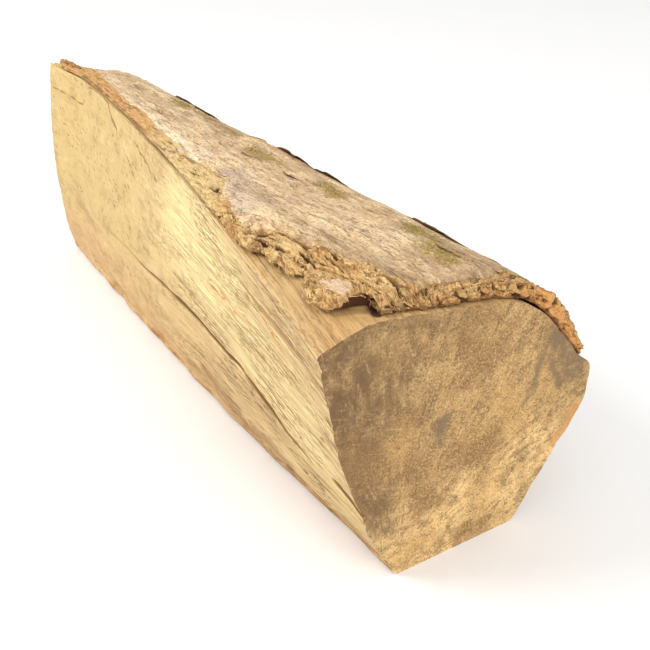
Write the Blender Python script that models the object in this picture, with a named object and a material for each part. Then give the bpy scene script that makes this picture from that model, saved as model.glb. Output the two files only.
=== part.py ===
"""A split log: one riven piece of a hardwood round, sawn at both ends, with its bark still on.

The log lies along X with one sawn end at +X and the other at -X. It rests on a narrow riven facet,
which is flat. Each section is set out from the pith, the long low corner where the tall riven face (-Y)
meets the underside. The trunk's own round surface, under the bark, closes the section at the top and
on the +Y side. The finished log is moved so that the middle of its box's base is the origin.
Sizes are in metres and angles in radians; an angle is measured about the pith, up from +Y.
"""

import math

import bmesh
import bpy
from mathutils import Vector, noise

# The log and the trunk it was riven from.
LENGTH = 0.400
TRUNK_RADIUS_FAR = 0.1275
TRUNK_RADIUS_NEAR = 0.1320
FLUTE_DEPTH = 0.0026
FLUTE_PERIOD = math.radians(40.0)
FLUTE_CREST = math.radians(61.0)

# The riven faces.
FOOT_WIDTH_FAR = 0.074
FOOT_WIDTH_NEAR = 0.071
FOOT_BOW = 0.0055
RIDGE_OUT_FAR = -0.0065
RIDGE_OUT_NEAR = 0.039
RIDGE_HEIGHT_FAR = 0.139
RIDGE_HEIGHT_NEAR = 0.127
RIDGE_TWIST = 1.8
FAR_CHIP_DEPTH = 0.0065
FAR_CHIP_LENGTH = 0.055
RIDGE_LIP_WIDTH = math.radians(7.0)
FACE_BELLY = 0.0065
BACK_CORNER_FAR = (0.108, 0.051)
BACK_CORNER_NEAR = (0.1120, 0.0585)
TRUNK_START = math.radians(35.0)
SHOULDER_SWELL = 0.0028
SURFACE_WAVE = 0.0022
WAVE_LENGTH = 0.075

# The sheet of bark: how thick it is, and where it ends.
BARK_THICKNESS_FAR = 0.0072
BARK_THICKNESS_NEAR = 0.0098
BARK_THIN_SHARE = 0.26
BARK_FULL_ANGLE = math.radians(64.0)
BARK_LOW_ANGLE = math.radians(38.5)
BARK_LOW_WAVE = math.radians(1.6)
BARK_RIDGE_SETBACK = math.radians(1.8)
BARK_TOP_ANGLE = math.radians(98.5)
BARK_TEAR_WAVE = math.radians(1.1)
BARK_RIM_WIDTH = math.radians(9.0)
BARK_RIM_SHARE = 0.42
BARK_NEAR_TEAR = math.radians(7.0)
BARK_NEAR_TEAR_LENGTH = 0.016
SKIN_TEAR_START = 0.070
SKIN_TEAR = math.radians(10.0)
SKIN_STEP_WIDTH = math.radians(4.0)
TORN_LAYER_SHARE = 0.5
BARK_END_SETBACK = 0.0012

# The bark sits just off the wood, and has sprung away from it at the near end.
BARK_GAP = 0.0004
SPRUNG_GAP = 0.0013
SPRUNG_LENGTH = 0.035
SPRUNG_ANGLE = math.radians(66.0)

# How finely the surfaces are divided.
STATIONS = 54
FOOT_STEPS = 4
FACET_STEPS = 5
BARE_STEPS = 2
BARK_STEPS = 16
STRIP_STEPS = 3
FACE_STEPS = 12
WELD = 0.00001


def blend(low, high, share):
    return low + (high - low) * share


def ease(low, high, value):
    """Runs smoothly from 0 at low to 1 at high."""
    share = min(max((value - low) / (high - low), 0.0), 1.0)
    return share * share * (3.0 - 2.0 * share)


def wave(x, across, seed):
    """A smooth unevenness between about -1 and 1, drawn out along the grain."""
    return 1.6 * noise.noise(Vector((x / WAVE_LENGTH, across, seed)))


def polar(radius, angle):
    return Vector((radius * math.cos(angle), radius * math.sin(angle)))


# ---- the trunk's round surface and the riven faces, at the distance x from the far end ----


def ridge(x):
    """The top edge of the tall riven face: chipped back at the far end, and leaning outwards more and more
    towards the near end."""
    share = x / LENGTH
    out = blend(RIDGE_OUT_FAR, RIDGE_OUT_NEAR, share**RIDGE_TWIST)
    out += FAR_CHIP_DEPTH * (1.0 - ease(0.0, FAR_CHIP_LENGTH, x))
    return Vector((-out, blend(RIDGE_HEIGHT_FAR, RIDGE_HEIGHT_NEAR, share)))


def ridge_angle(x):
    corner = ridge(x)
    return math.atan2(corner.y, corner.x)


def wood_radius(x, angle):
    """The wood's radius under the bark: fluted, and rising to a lip at the ridge."""
    radius = blend(TRUNK_RADIUS_FAR, TRUNK_RADIUS_NEAR, x / LENGTH)
    flute = FLUTE_DEPTH * x / LENGTH
    radius += flute * math.cos(math.tau * (angle - FLUTE_CREST) / FLUTE_PERIOD)
    radius += 0.5 * SURFACE_WAVE * wave(x, 2.0 * angle, 3.0)
    lip = ridge(x).length - radius
    return radius + lip * math.exp(-(((ridge_angle(x) - angle) / RIDGE_LIP_WIDTH) ** 2))


def foot_corners(x):
    """The two ends of the flat facet that the log rests on; the first is the pith."""
    share = x / LENGTH
    bow = FOOT_BOW * math.sin(math.pi * share)
    return Vector((-bow, 0.0)), Vector((blend(FOOT_WIDTH_FAR, FOOT_WIDTH_NEAR, share), 0.0))


def back_corner(x):
    share = x / LENGTH
    corner = Vector(BACK_CORNER_FAR).lerp(Vector(BACK_CORNER_NEAR), share)
    return corner + Vector((SURFACE_WAVE * wave(x, 0.0, 5.0), SURFACE_WAVE * wave(x, 0.0, 6.0)))


def tall_face_point(x, share):
    """A point on the tall riven face, share 0 at the ridge and 1 at the pith."""
    pith = foot_corners(x)[0]
    point = ridge(x).lerp(pith, share)
    swell = 4.0 * share * (1.0 - share)
    belly = FACE_BELLY + SURFACE_WAVE * wave(x, 1.5 * share, 8.0)
    return point - Vector((belly * swell, 0.0))


# ---- the bark ----


def bark_low_angle(x):
    return BARK_LOW_ANGLE + BARK_LOW_WAVE * wave(x, 0.0, 11.0)


def bark_high_angle(x):
    """The torn edge beside the ridge; it runs straight on where the ridge leans away near the near end."""
    torn = BARK_TOP_ANGLE + BARK_TEAR_WAVE * wave(2.5 * x, 0.0, 12.0)
    edge = min(ridge_angle(x) - BARK_RIDGE_SETBACK, torn)
    return edge - BARK_NEAR_TEAR * ease(LENGTH - BARK_NEAR_TEAR_LENGTH, LENGTH, x)


def bark_gap(x, angle):
    """The space under the bark, opened up where the bark has sprung off the wood."""
    near = ease(LENGTH - SPRUNG_LENGTH, LENGTH, x)
    low = 1.0 - ease(SPRUNG_ANGLE - BARK_LOW_WAVE, SPRUNG_ANGLE + BARK_LOW_WAVE, angle)
    return BARK_GAP + SPRUNG_GAP * near * low


def bark_thickness(x, angle):
    """Thin along both edges, full between, and down to its inner layer where the skin is torn off."""
    full = blend(BARK_THICKNESS_FAR, BARK_THICKNESS_NEAR, x / LENGTH)
    low = blend(BARK_THIN_SHARE, 1.0, ease(BARK_LOW_ANGLE, BARK_FULL_ANGLE, angle))
    rim_start = bark_high_angle(x) - BARK_RIM_WIDTH
    rim = blend(1.0, BARK_RIM_SHARE, ease(rim_start, rim_start + BARK_RIM_WIDTH, angle))
    rim = blend(rim, 1.0, ease(0.5 * LENGTH, LENGTH - SKIN_TEAR_START, x))
    from_tear = x - (LENGTH - SKIN_TEAR_START)
    torn_back = SKIN_TEAR * ease(-0.2 * SKIN_TEAR_START, SKIN_TEAR_START, from_tear)
    skin_edge = bark_high_angle(x) - 0.5 * SKIN_STEP_WIDTH - torn_back
    torn = ease(skin_edge - 0.5 * SKIN_STEP_WIDTH, skin_edge + 0.5 * SKIN_STEP_WIDTH, angle)
    swell = 1.0 + 0.10 * wave(x, 3.0 * angle, 14.0)
    return full * low * rim * swell * blend(1.0, TORN_LAYER_SHARE, torn)


# ---- the sections ----


def between(first, last, steps):
    """Steps evenly from first up to, but not including, last."""
    return [first + (last - first) * step / steps for step in range(steps)]


def wood_section(x):
    """The wood's outline, anticlockwise as seen from +X, from the pith round and back to it."""
    pith, foot = foot_corners(x)
    back = back_corner(x)
    shoulder = polar(wood_radius(x, TRUNK_START) + SHOULDER_SWELL * x / LENGTH, TRUNK_START)
    top = ridge_angle(x)
    points = between(pith, foot, FOOT_STEPS)
    points += between(foot, back, FACET_STEPS)
    points += between(back, shoulder, BARE_STEPS)
    points.append(shoulder)
    angles = between(bark_low_angle(x), bark_high_angle(x), BARK_STEPS)
    angles += between(bark_high_angle(x), top, STRIP_STEPS)
    points += [polar(wood_radius(x, angle), angle) for angle in angles]
    points += [tall_face_point(x, step / FACE_STEPS) for step in range(FACE_STEPS)]
    return points


def bark_section(x):
    """The bark's outline: up its inner side from the low edge, and back down its outer side."""
    low = bark_low_angle(x)
    high = bark_high_angle(x)
    angles = [blend(low, high, step / BARK_STEPS) for step in range(BARK_STEPS + 1)]
    inner = [wood_radius(x, angle) + bark_gap(x, angle) for angle in angles]
    outer = [radius + bark_thickness(x, angle) for radius, angle in zip(inner, angles)]
    points = [polar(radius, angle) for radius, angle in zip(inner, angles)]
    points += [polar(radius, angle) for radius, angle in zip(outer[::-1], angles[::-1])]
    return points


# ---- solids ----


def loft(name, stations, section, material):
    """One closed solid through a section at each station: a grid wrapped round, welded and capped."""
    rings = [section(x) for x in stations]
    across = len(rings[0])
    mesh = bmesh.new()
    bmesh.ops.create_grid(mesh, x_segments=len(stations) - 1, y_segments=across, size=1.0)
    for vertex in mesh.verts:
        station = round((vertex.co.x + 1.0) / 2.0 * (len(stations) - 1))
        step = round((vertex.co.y + 1.0) / 2.0 * across) % across
        y, z = rings[station][step]
        vertex.co = (stations[station], y, z)
    bmesh.ops.remove_doubles(mesh, verts=mesh.verts, dist=WELD)
    open_edges = [edge for edge in mesh.edges if edge.is_boundary]
    bmesh.ops.holes_fill(mesh, edges=open_edges, sides=0)
    bmesh.ops.recalc_face_normals(mesh, faces=mesh.faces)
    data = bpy.data.meshes.new(name)
    mesh.to_mesh(data)
    mesh.free()
    data.materials.append(material)
    solid = bpy.data.objects.new(name, data)
    bpy.context.scene.collection.objects.link(solid)
    return solid


def finish(name, colour, roughness):
    material = bpy.data.materials.new(name)
    material.use_nodes = True
    shader = material.node_tree.nodes["Principled BSDF"]
    shader.inputs["Base Color"].default_value = (*colour, 1.0)
    shader.inputs["Roughness"].default_value = roughness
    shader.inputs["Metallic"].default_value = 0.0
    return material


def make_wood():
    stations = [LENGTH * step / STATIONS for step in range(STATIONS + 1)]
    wood = loft("wood", stations, wood_section, finish("riven_wood", (0.62, 0.43, 0.20), 0.75))
    wood.data.set_sharp_from_angle(angle=math.radians(35.0))
    return wood


def make_bark():
    stations = [LENGTH * step / STATIONS for step in range(STATIONS + 1)]
    stations[0] += BARK_END_SETBACK
    stations[-1] -= BARK_END_SETBACK
    bark = loft("bark", stations, bark_section, finish("grey_bark", (0.34, 0.27, 0.20), 0.90))
    bark.data.set_sharp_from_angle(angle=math.radians(35.0))
    return bark


def stand_on_origin(solids):
    """Moves the meshes so that the middle of the base of their common box is the origin."""
    points = [vertex.co for solid in solids for vertex in solid.data.vertices]
    low = Vector([min(point[axis] for point in points) for axis in range(3)])
    high = Vector([max(point[axis] for point in points) for axis in range(3)])
    base = Vector(((low.x + high.x) / 2.0, (low.y + high.y) / 2.0, low.z))
    for point in points:
        point -= base


def clear_scene():
    for thing in list(bpy.data.objects):
        bpy.data.objects.remove(thing)


clear_scene()
stand_on_origin([make_wood(), make_bark()])
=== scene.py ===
"""A split log of firewood: the finish of its riven wood, its sawn ends and its torn bark."""

import bisect
import math
import random

import bmesh
import bpy
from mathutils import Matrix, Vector, noise


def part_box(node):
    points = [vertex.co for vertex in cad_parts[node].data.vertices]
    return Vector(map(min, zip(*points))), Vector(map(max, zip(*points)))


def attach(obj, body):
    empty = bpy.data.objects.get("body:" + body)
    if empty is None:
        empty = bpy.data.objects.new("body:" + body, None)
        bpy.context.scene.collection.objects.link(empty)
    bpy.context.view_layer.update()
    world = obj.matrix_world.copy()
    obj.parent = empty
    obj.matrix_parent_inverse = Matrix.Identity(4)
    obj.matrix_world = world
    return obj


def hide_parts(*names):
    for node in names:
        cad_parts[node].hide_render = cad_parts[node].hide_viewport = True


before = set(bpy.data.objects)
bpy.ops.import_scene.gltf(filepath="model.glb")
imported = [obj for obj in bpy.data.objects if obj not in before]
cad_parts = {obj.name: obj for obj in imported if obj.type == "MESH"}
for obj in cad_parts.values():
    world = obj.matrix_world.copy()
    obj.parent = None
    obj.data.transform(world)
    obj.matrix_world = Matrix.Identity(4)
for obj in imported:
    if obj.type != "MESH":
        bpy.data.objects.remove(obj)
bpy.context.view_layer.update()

# ---- The place of the log ----
# The log lies along X on a narrow riven facet. The pith, where the tall riven face meets the underside,
# is its long low corner on the -Y side; it was the centre of the trunk, so the trunk's round surface is
# measured from it.
WELD = 0.00001


def welded(node):
    """A copy of a CAD node's mesh with its loose triangles joined up."""
    mesh = bmesh.new()
    mesh.from_mesh(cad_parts[node].data)
    bmesh.ops.remove_doubles(mesh, verts=mesh.verts, dist=WELD)
    return mesh


wood_solid = welded("wood")
bark_solid = welded("bark")
far_x, near_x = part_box("wood")[0].x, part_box("wood")[1].x
length = near_x - far_x
on_ground = [v.co for v in wood_solid.verts if v.co.z < WELD and v.co.x > near_x - WELD]
pith_y = min(point.y for point in on_ground)

# ---- The view, the floor and the light ----
# A pale floor that runs out of sight, one large soft light over the riven face, a weaker one past the
# sawn end, and an even white surround. The view looks down along the log from beyond its near sawn end.
VIEW_FROM_PITH = Vector((0.2535, -0.1953, 0.3108))
VIEW_AZIMUTH = math.radians(57.62)
VIEW_ELEVATION = math.radians(29.80)
LENS_MM = 54.0
SENSOR_MM = 36.0
FLOOR_SIZE = 12.0
FLOOR_COLOUR = (0.90, 0.90, 0.90, 1.0)
SURROUND_STRENGTH = 0.85


def look_along(thing, direction):
    thing.rotation_mode = "QUATERNION"
    thing.rotation_quaternion = direction.to_track_quat("-Z", "Y")


camera_data = bpy.data.cameras.new("view")
camera_data.lens = LENS_MM
camera_data.sensor_width = SENSOR_MM
camera_data.clip_start = 0.02
camera_data.clip_end = 50.0
camera = bpy.data.objects.new("view", camera_data)
bpy.context.scene.collection.objects.link(camera)
camera.location = Vector((near_x, pith_y, 0.0)) + VIEW_FROM_PITH
level = math.cos(VIEW_ELEVATION)
forward = Vector(
    (-math.sin(VIEW_AZIMUTH) * level, math.cos(VIEW_AZIMUTH) * level, -math.sin(VIEW_ELEVATION))
)
look_along(camera, forward)
bpy.context.scene.camera = camera


def soft_light(name, place, size, power, colour):
    data = bpy.data.lights.new(name, "AREA")
    data.shape = "DISK"
    data.size = size
    data.energy = power
    data.color = colour
    lamp = bpy.data.objects.new(name, data)
    bpy.context.scene.collection.objects.link(lamp)
    lamp.location = place
    look_along(lamp, -Vector(place))


soft_light("key_light", (-0.55, -1.30, 1.25), 0.7, 17.0, (1.0, 0.97, 0.93))
soft_light("fill_light", (1.60, -0.30, 1.20), 1.2, 14.0, (1.0, 0.98, 0.96))

world = bpy.data.worlds.new("surround")
world.use_nodes = True
world.node_tree.nodes["Background"].inputs["Color"].default_value = (1.0, 1.0, 1.0, 1.0)
world.node_tree.nodes["Background"].inputs["Strength"].default_value = SURROUND_STRENGTH
bpy.context.scene.world = world
bpy.context.scene.view_settings.view_transform = "Standard"

floor_mesh = bmesh.new()
bmesh.ops.create_grid(floor_mesh, x_segments=1, y_segments=1, size=FLOOR_SIZE / 2.0)
floor_data = bpy.data.meshes.new("floor")
floor_mesh.to_mesh(floor_data)
floor_mesh.free()
floor = bpy.data.objects.new("floor", floor_data)
bpy.context.scene.collection.objects.link(floor)
floor_paint = bpy.data.materials.new("floor_paint")
floor_paint.use_nodes = True
floor_paint.node_tree.nodes["Principled BSDF"].inputs["Base Color"].default_value = FLOOR_COLOUR
floor_paint.node_tree.nodes["Principled BSDF"].inputs["Roughness"].default_value = 0.95
floor_data.materials.append(floor_paint)

# ---- The wood ----
# One riven piece of hardwood: a tall face and two lower facets torn open along the grain, a strip of the
# trunk's own surface bared at the near end, and two ends sawn across. It is drawn out from the CAD outline
# into fine columns along the grain, which are then raised into fibres, grooves and drying cracks.
TRUNK_RADIUS = 0.1345
COLUMN_WIDTH = 0.00110
RUN_STEP = 0.06
WOOD_STATIONS = 132
END_RINGS = 26
END_RING_CROWDING = 1.25
INSIDE = (0.045, 0.060)
RIDGE_CORNER = 12
ROUND_START = 15
UNDER_BARK_CORNER = 22
ROUND_END = 31
BACK_CORNER = 34
FIBRE_WEAR = 2
CORNER_WEAR = 5
CORNER_TURN = math.radians(24.0)
FIBRE_WEAR_SHARE = 0.75
CORNER_WEAR_SHARE = 0.92
CRACK_REACH = 0.10
CRACK_DEPTH = 0.0042
CRACK_LIP = 0.45
CRACK_NARROWING = 0.30
END_CRACK_REACH = 0.06
END_CRACK_DEPTH = 0.0030
END_TOOTH = 0.00035
COVERED_RELIEF = 0.15
SHARP_EDGE = math.radians(55.0)

# Where the long drying crack runs, as (distance along the log, share of the tall face's height), and
# how wide it gapes; then the same for the short crack at the near sawn end.
CRACK_PATH = [(-0.150, 0.395), (-0.054, 0.412), (0.000, 0.455), (0.030, 0.444), (0.090, 0.446)]
CRACK_PATH += [(0.120, 0.385), (0.140, 0.355), (0.190, 0.335)]
CRACK_OPENING = [(-0.140, 0.0), (-0.060, 0.20), (0.000, 0.50), (0.020, 0.95), (0.070, 1.1), (0.100, 0.9)]
CRACK_OPENING += [(0.120, 0.5), (0.145, 0.42), (0.170, 0.0)]
END_CRACK_PATH = [(0.170, 0.505), (0.182, 0.478), (0.191, 0.462), (0.200, 0.430)]
END_CRACK_OPENING = [(0.178, 0.0), (0.185, 0.75), (0.193, 1.0), (0.200, 0.60)]
# Bites out of the long low corner: (middle, half length, depth).
LOW_CORNER_BITES = [(-0.107, 0.010, 0.0036), (-0.020, 0.045, 0.0026), (0.155, 0.030, 0.0016)]


def ease(low, high, value):
    """Runs smoothly from 0 at low to 1 at high."""
    share = min(max((value - low) / (high - low), 0.0), 1.0)
    return share * share * (3.0 - 2.0 * share)


def blend(low, high, share):
    return low + (high - low) * share


def hump(value, middle, reach):
    return math.exp(-(((value - middle) / reach) ** 2))


def read_curve(points, value):
    """Reads a curve given by a few (value, height) points, eased from each to the next."""
    if value <= points[0][0]:
        return points[0][1]
    for (low, low_height), (high, high_height) in zip(points, points[1:]):
        if value <= high:
            return blend(low_height, high_height, ease(low, high, value))
    return points[-1][1]


def grain_noise(x, around, along_scale, around_scale, seed):
    """Unevenness drawn out along the grain, between about -1 and 1."""
    return 1.5 * noise.noise(Vector((x * along_scale, around * around_scale, seed)))


def outlines(solid):
    """(places, outlines): the CAD wood's outline at its stations, from the pith up the tall face and on
    round. A station whose outline lacks a corner is left out."""
    rings = {}
    for vertex in solid.verts:
        rings.setdefault(round(vertex.co.x, 5), []).append(vertex.co.copy())
    start = math.atan2(-INSIDE[1], -INSIDE[0]) + 0.02
    ordered = []
    most = max(len(ring) for ring in rings.values())
    places = [x for x in sorted(rings) if len(rings[x]) == most]
    for x in places:
        keyed = []
        for point in rings[x]:
            angle = math.atan2(point.z - INSIDE[1], point.y - pith_y - INSIDE[0])
            keyed.append(((start - angle) % math.tau, point))
        keyed.sort(key=lambda pair: pair[0])
        ordered.append([point for _, point in keyed])
    return places, ordered


wood_places, wood_outlines = outlines(wood_solid)
corner_count = len(wood_outlines[0])


def outline_at(x):
    """The wood's outline at any distance along the log, between the CAD stations on either side."""
    after = min(max(bisect.bisect_right(wood_places, x), 1), len(wood_places) - 1)
    share = (x - wood_places[after - 1]) / (wood_places[after] - wood_places[after - 1])
    pairs = zip(wood_outlines[after - 1], wood_outlines[after])
    return [low.lerp(high, share) for low, high in pairs]


# The columns: every stretch of the outline is divided evenly, finely enough for where it is longest.
# Distance round the outline is counted from the pith, up the tall face and, less than 0, back along the
# underside.
sample_outlines = [outline_at(x) for x in (far_x, (far_x + near_x) / 2.0, near_x)]
columns = []
around_at = []
travelled = 0.0
for corner in range(corner_count):
    after = (corner + 1) % corner_count
    stretch = max((outline[after] - outline[corner]).length for outline in sample_outlines)
    steps = max(1, round(stretch / COLUMN_WIDTH))
    columns += [corner + step / steps for step in range(steps)]
    around_at += [travelled + stretch * step / steps for step in range(steps)]
    travelled += stretch
ridge_around = around_at[columns.index(RIDGE_CORNER)]
around_at = [
    around if column < UNDER_BARK_CORNER else around - travelled
    for column, around in zip(columns, around_at)
]


def column_at(share):
    """The column nearest to a share of the tall face's height."""
    return min(range(len(columns)), key=lambda column: abs(columns[column] / RIDGE_CORNER - share))


crack_column = column_at(CRACK_PATH[3][1])
end_crack_column = column_at(END_CRACK_PATH[1][1])


def led_aside(column, followed, path, reach, x):
    """How far a column is led aside so that the followed column runs along the path."""
    home = columns[followed] / RIDGE_CORNER
    shift = (read_curve(path, x) - home) * hump(columns[column] / RIDGE_CORNER, home, reach)
    aside = column - followed
    if abs(aside) == 1:
        shift -= aside * CRACK_NARROWING * COLUMN_WIDTH / ridge_around
    return shift * RIDGE_CORNER


def outline_point(outline, where):
    first = int(where) % corner_count
    return outline[first].lerp(outline[(first + 1) % corner_count], where - int(where))


def face_relief(x, around):
    """(depth, sunk): how far the tall face stands in from its outline, and how much painted shade its
    grooves get. It is smooth far off and fibrous towards the near end."""
    near = ease(-0.06, 0.12, x)
    depth = 0.00045 * (1.0 + grain_noise(x, around, 5.0, 30.0, 1.0))
    depth += (0.00003 + 0.00034 * near) * (1.0 + grain_noise(x, around, 8.0, 190.0, 2.0))
    depth += (0.00003 + 0.00034 * near) * abs(grain_noise(x, around, 14.0, 400.0, 3.0))
    groove = 1.0 - ease(0.0, 0.20, abs(grain_noise(x, around, 10.0, 190.0, 12.0)))
    groove *= near * ease(-0.05, 0.40, grain_noise(x, around, 22.0, 60.0, 13.0))
    # A long sliver has come off towards the near end, which leaves a low step along its edge.
    step_at = 0.100 + 0.30 * (ridge_around - around) + 0.006 * grain_noise(x, 0.0, 25.0, 0.0, 4.0)
    depth += 0.0009 * ease(step_at - 0.003, step_at + 0.003, x) * ease(0.085, 0.105, around)
    by_ridge = 1.0 - 0.7 * ease(ridge_around - 0.010, ridge_around, around)
    return by_ridge * depth + 0.00080 * groove, 0.24 * groove


def facet_relief(x, around):
    """The two lower facets: coarser, with long splintered hollows."""
    depth = 0.00095 * (1.0 + grain_noise(x, around, 9.0, 75.0, 5.0))
    return depth + 0.00060 * abs(grain_noise(x, around, 14.0, 260.0, 6.0))


def trunk_around(point, outline):
    """The distance round the outline of a point of the trunk's surface, counted on from the ridge."""
    ridge = outline[RIDGE_CORNER]
    turn = math.atan2(ridge.z, ridge.y - pith_y) - math.atan2(point.z, point.y - pith_y)
    return ridge_around + TRUNK_RADIUS * turn


def trunk_relief(x, around):
    """The trunk's own surface under the bark: parallel grooves."""
    groove = 1.0 - ease(0.0, 0.40, abs(grain_noise(x, around, 4.0, 210.0, 7.0)))
    return 0.00090 * groove + 0.00030 * (1.0 + grain_noise(x, around, 9.0, 450.0, 8.0))


def edge_bites(x, around):
    """Bites out of the long low corner, where splinters came away."""
    bite = sum(deep * hump(x, middle, reach) for middle, reach, deep in LOW_CORNER_BITES)
    crumble = 0.0018 * (1.0 + grain_noise(x, around, 45.0, 60.0, 9.0))
    crumble += 0.0013 * abs(grain_noise(x, around, 130.0, 60.0, 16.0))
    return (1.0 - ease(0.0, 0.022, around)) * (bite + crumble)


def rim_chips(x, around):
    """Small splinters missing along the rim of both sawn ends."""
    chip = max(0.0, grain_noise(math.copysign(1.0, x), around, 1.0, 310.0, 10.0) - 0.10)
    return 0.0012 * chip * hump(min(x - far_x, near_x - x), 0.0, 0.0030)


def cut_crack(x, aside, opening, deep):
    """(depth, darkness) of a crack's groove, the darkness being painted shade, aside being the number of
    columns away from its middle.
    """
    gape = max(0.0, read_curve(opening, x) * (0.8 + 0.5 * grain_noise(x, 0.0, 60.0, 0.0, 11.0)))
    if aside == 0:
        return deep * gape, min(1.0, 2.0 * gape)
    if abs(aside) == 1:
        return CRACK_LIP * deep * gape, min(0.85, 0.85 * gape)
    return 0.0, 0.0


def wood_surface(x, column, outline):
    """(place, around, sunk, trunk) of a point of the wood: sunk is how much painted shade its crevice gets,
    and trunk is how much it belongs to the trunk's own surface."""
    corner = columns[column]
    around = around_at[column]
    where = corner
    if corner < RIDGE_CORNER:
        where += led_aside(column, crack_column, CRACK_PATH, CRACK_REACH, x)
        if x > END_CRACK_PATH[0][0]:
            share = ease(END_CRACK_PATH[0][0], END_CRACK_PATH[1][0], x)
            where += share * led_aside(column, end_crack_column, END_CRACK_PATH, END_CRACK_REACH, x)
    point = outline_point(outline, where)
    run = outline_point(outline, (where + RUN_STEP) % corner_count)
    run -= outline_point(outline, (where - RUN_STEP) % corner_count)
    inward = Vector((0.0, run.z, -run.y)).normalized()
    trunk = ease(RIDGE_CORNER - 0.4, RIDGE_CORNER + 0.6, corner)
    trunk *= 1.0 - ease(BACK_CORNER - 3.0, BACK_CORNER, corner)
    if corner < ROUND_START:
        trunk *= ease(0.05, 0.10, x)
    sunk = 0.0
    if corner < RIDGE_CORNER:
        depth, sunk = face_relief(x, around)
        depth += edge_bites(x, around)
        cut, cut_sunk = cut_crack(x, column - crack_column, CRACK_OPENING, CRACK_DEPTH)
        end_cut, end_sunk = cut_crack(x, column - end_crack_column, END_CRACK_OPENING, END_CRACK_DEPTH)
        depth += cut + end_cut
        sunk = max(sunk, cut_sunk, end_sunk)
    else:
        depth = facet_relief(x, around)
    if trunk > 0.0:
        around = blend(around, trunk_around(point, outline), ease(0.0, 0.2, trunk))
        covered = ROUND_START + 1.0 < corner < ROUND_END
        depth = blend(depth, trunk_relief(x, around) * (COVERED_RELIEF if covered else 1.0), trunk)
    depth += rim_chips(x, around)
    on_foot = corner > BACK_CORNER or corner < 1.0
    lifted = ease(0.0, 0.004, point.z) if on_foot else 1.0
    place = point + inward * depth * lifted
    place.z = max(place.z, 0.0)
    return place, around, sunk, trunk


def sharp_columns(outline):
    """The columns at the outline's sharp corners, but for the ridge, which lies under the bark's edge."""
    sharp = []
    for corner in range(corner_count):
        before = outline[corner] - outline[corner - 1]
        after = outline[(corner + 1) % corner_count] - outline[corner]
        if corner != RIDGE_CORNER and before.angle(after) > CORNER_TURN:
            sharp.append(columns.index(corner))
    return sharp


corner_columns = sharp_columns(sample_outlines[2])


def wear_corners(ring):
    """Rounds the outline by drawing each point towards its neighbours' mean, most so at its corners."""
    count = len(ring)
    worn = []
    for index, (place, around, sunk, trunk) in enumerate(ring):
        off = min(min((index - corner) % count, (corner - index) % count) for corner in corner_columns)
        by_corner = off <= CORNER_WEAR
        reach = CORNER_WEAR if by_corner else FIBRE_WEAR
        mean = sum((ring[(index + step) % count][0] for step in range(-reach, reach + 1)), Vector())
        mean /= 2 * reach + 1
        kept = not by_corner and (sunk > 0.05 or place.z <= 0.0)
        share = CORNER_WEAR_SHARE if by_corner else FIBRE_WEAR_SHARE
        worn.append((place if kept else place.lerp(mean, share), around, sunk, trunk))
    return worn


def end_ring(ring, x, share, outward):
    """A ring of a sawn end, drawn in towards the middle; the saw has left the end slightly rough."""
    middle = Vector((x, pith_y + INSIDE[0], INSIDE[1]))
    drawn = []
    for place, around, _, trunk in ring:
        point = place.lerp(middle, share)
        tooth = noise.noise(Vector((point.y * 210.0, point.z * 210.0, 3.0 + outward)))
        tooth += noise.noise(Vector((point.y * 520.0, point.z * 520.0, 7.0 + outward)))
        point.x = x - outward * END_TOOTH * ease(0.0, 0.05, share) * (1.0 + 0.6 * tooth)
        drawn.append((point, around, 0.0, trunk))
    return drawn


def new_piece(name, mesh, slot, finishes, *replaced):
    """Makes the mesh a piece of the log: smooth but for its sharp edges, finished, and riding on it."""
    data = bpy.data.meshes.new(name)
    mesh.to_mesh(data)
    mesh.free()
    data.set_sharp_from_angle(angle=SHARP_EDGE)
    for finish in finishes:
        data.materials.append(finish)
    piece = bpy.data.objects.new(name, data)
    bpy.context.scene.collection.objects.link(piece)
    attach(piece, "root")
    if replaced:
        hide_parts(*replaced)


stations = [far_x + length * step / (WOOD_STATIONS - 1) for step in range(WOOD_STATIONS)]
body_rings = []
for x in stations:
    outline = outline_at(x)
    body_rings.append(wear_corners([wood_surface(x, column, outline) for column in range(len(columns))]))
inset_shares = [(step / END_RINGS) ** END_RING_CROWDING for step in range(1, END_RINGS)]
far_rings = [end_ring(body_rings[0], far_x, share, -1.0) for share in reversed(inset_shares)]
near_rings = [end_ring(body_rings[-1], near_x, share, 1.0) for share in inset_shares]
wood_rings = far_rings + body_rings + near_rings
ring_places = [far_x] * len(far_rings) + stations + [near_x] * len(near_rings)

wood_mesh = bmesh.new()
bmesh.ops.create_grid(wood_mesh, x_segments=len(wood_rings) - 1, y_segments=len(columns), size=1.0)
grain_layer = wood_mesh.verts.layers.float_vector.new("grain")
sunk_layer = wood_mesh.verts.layers.float.new("sunk")
trunk_layer = wood_mesh.verts.layers.float.new("trunk")
for vertex in wood_mesh.verts:
    ring = round((vertex.co.x + 1.0) / 2.0 * (len(wood_rings) - 1))
    column = round((vertex.co.y + 1.0) / 2.0 * len(columns)) % len(columns)
    vertex.co, around, vertex[sunk_layer], vertex[trunk_layer] = wood_rings[ring][column]
    vertex[grain_layer] = (ring_places[ring], around, 0.0)
bmesh.ops.remove_doubles(wood_mesh, verts=wood_mesh.verts, dist=WELD / 100.0)
bmesh.ops.holes_fill(wood_mesh, edges=[edge for edge in wood_mesh.edges if edge.is_boundary], sides=0)
bmesh.ops.recalc_face_normals(wood_mesh, faces=wood_mesh.faces)
for face in wood_mesh.faces:
    from_end = min(abs(face.calc_center_median().x - end) for end in (far_x, near_x))
    face.material_index = 1 if abs(face.normal.x) > 0.7 and from_end < 0.002 else 0


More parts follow.
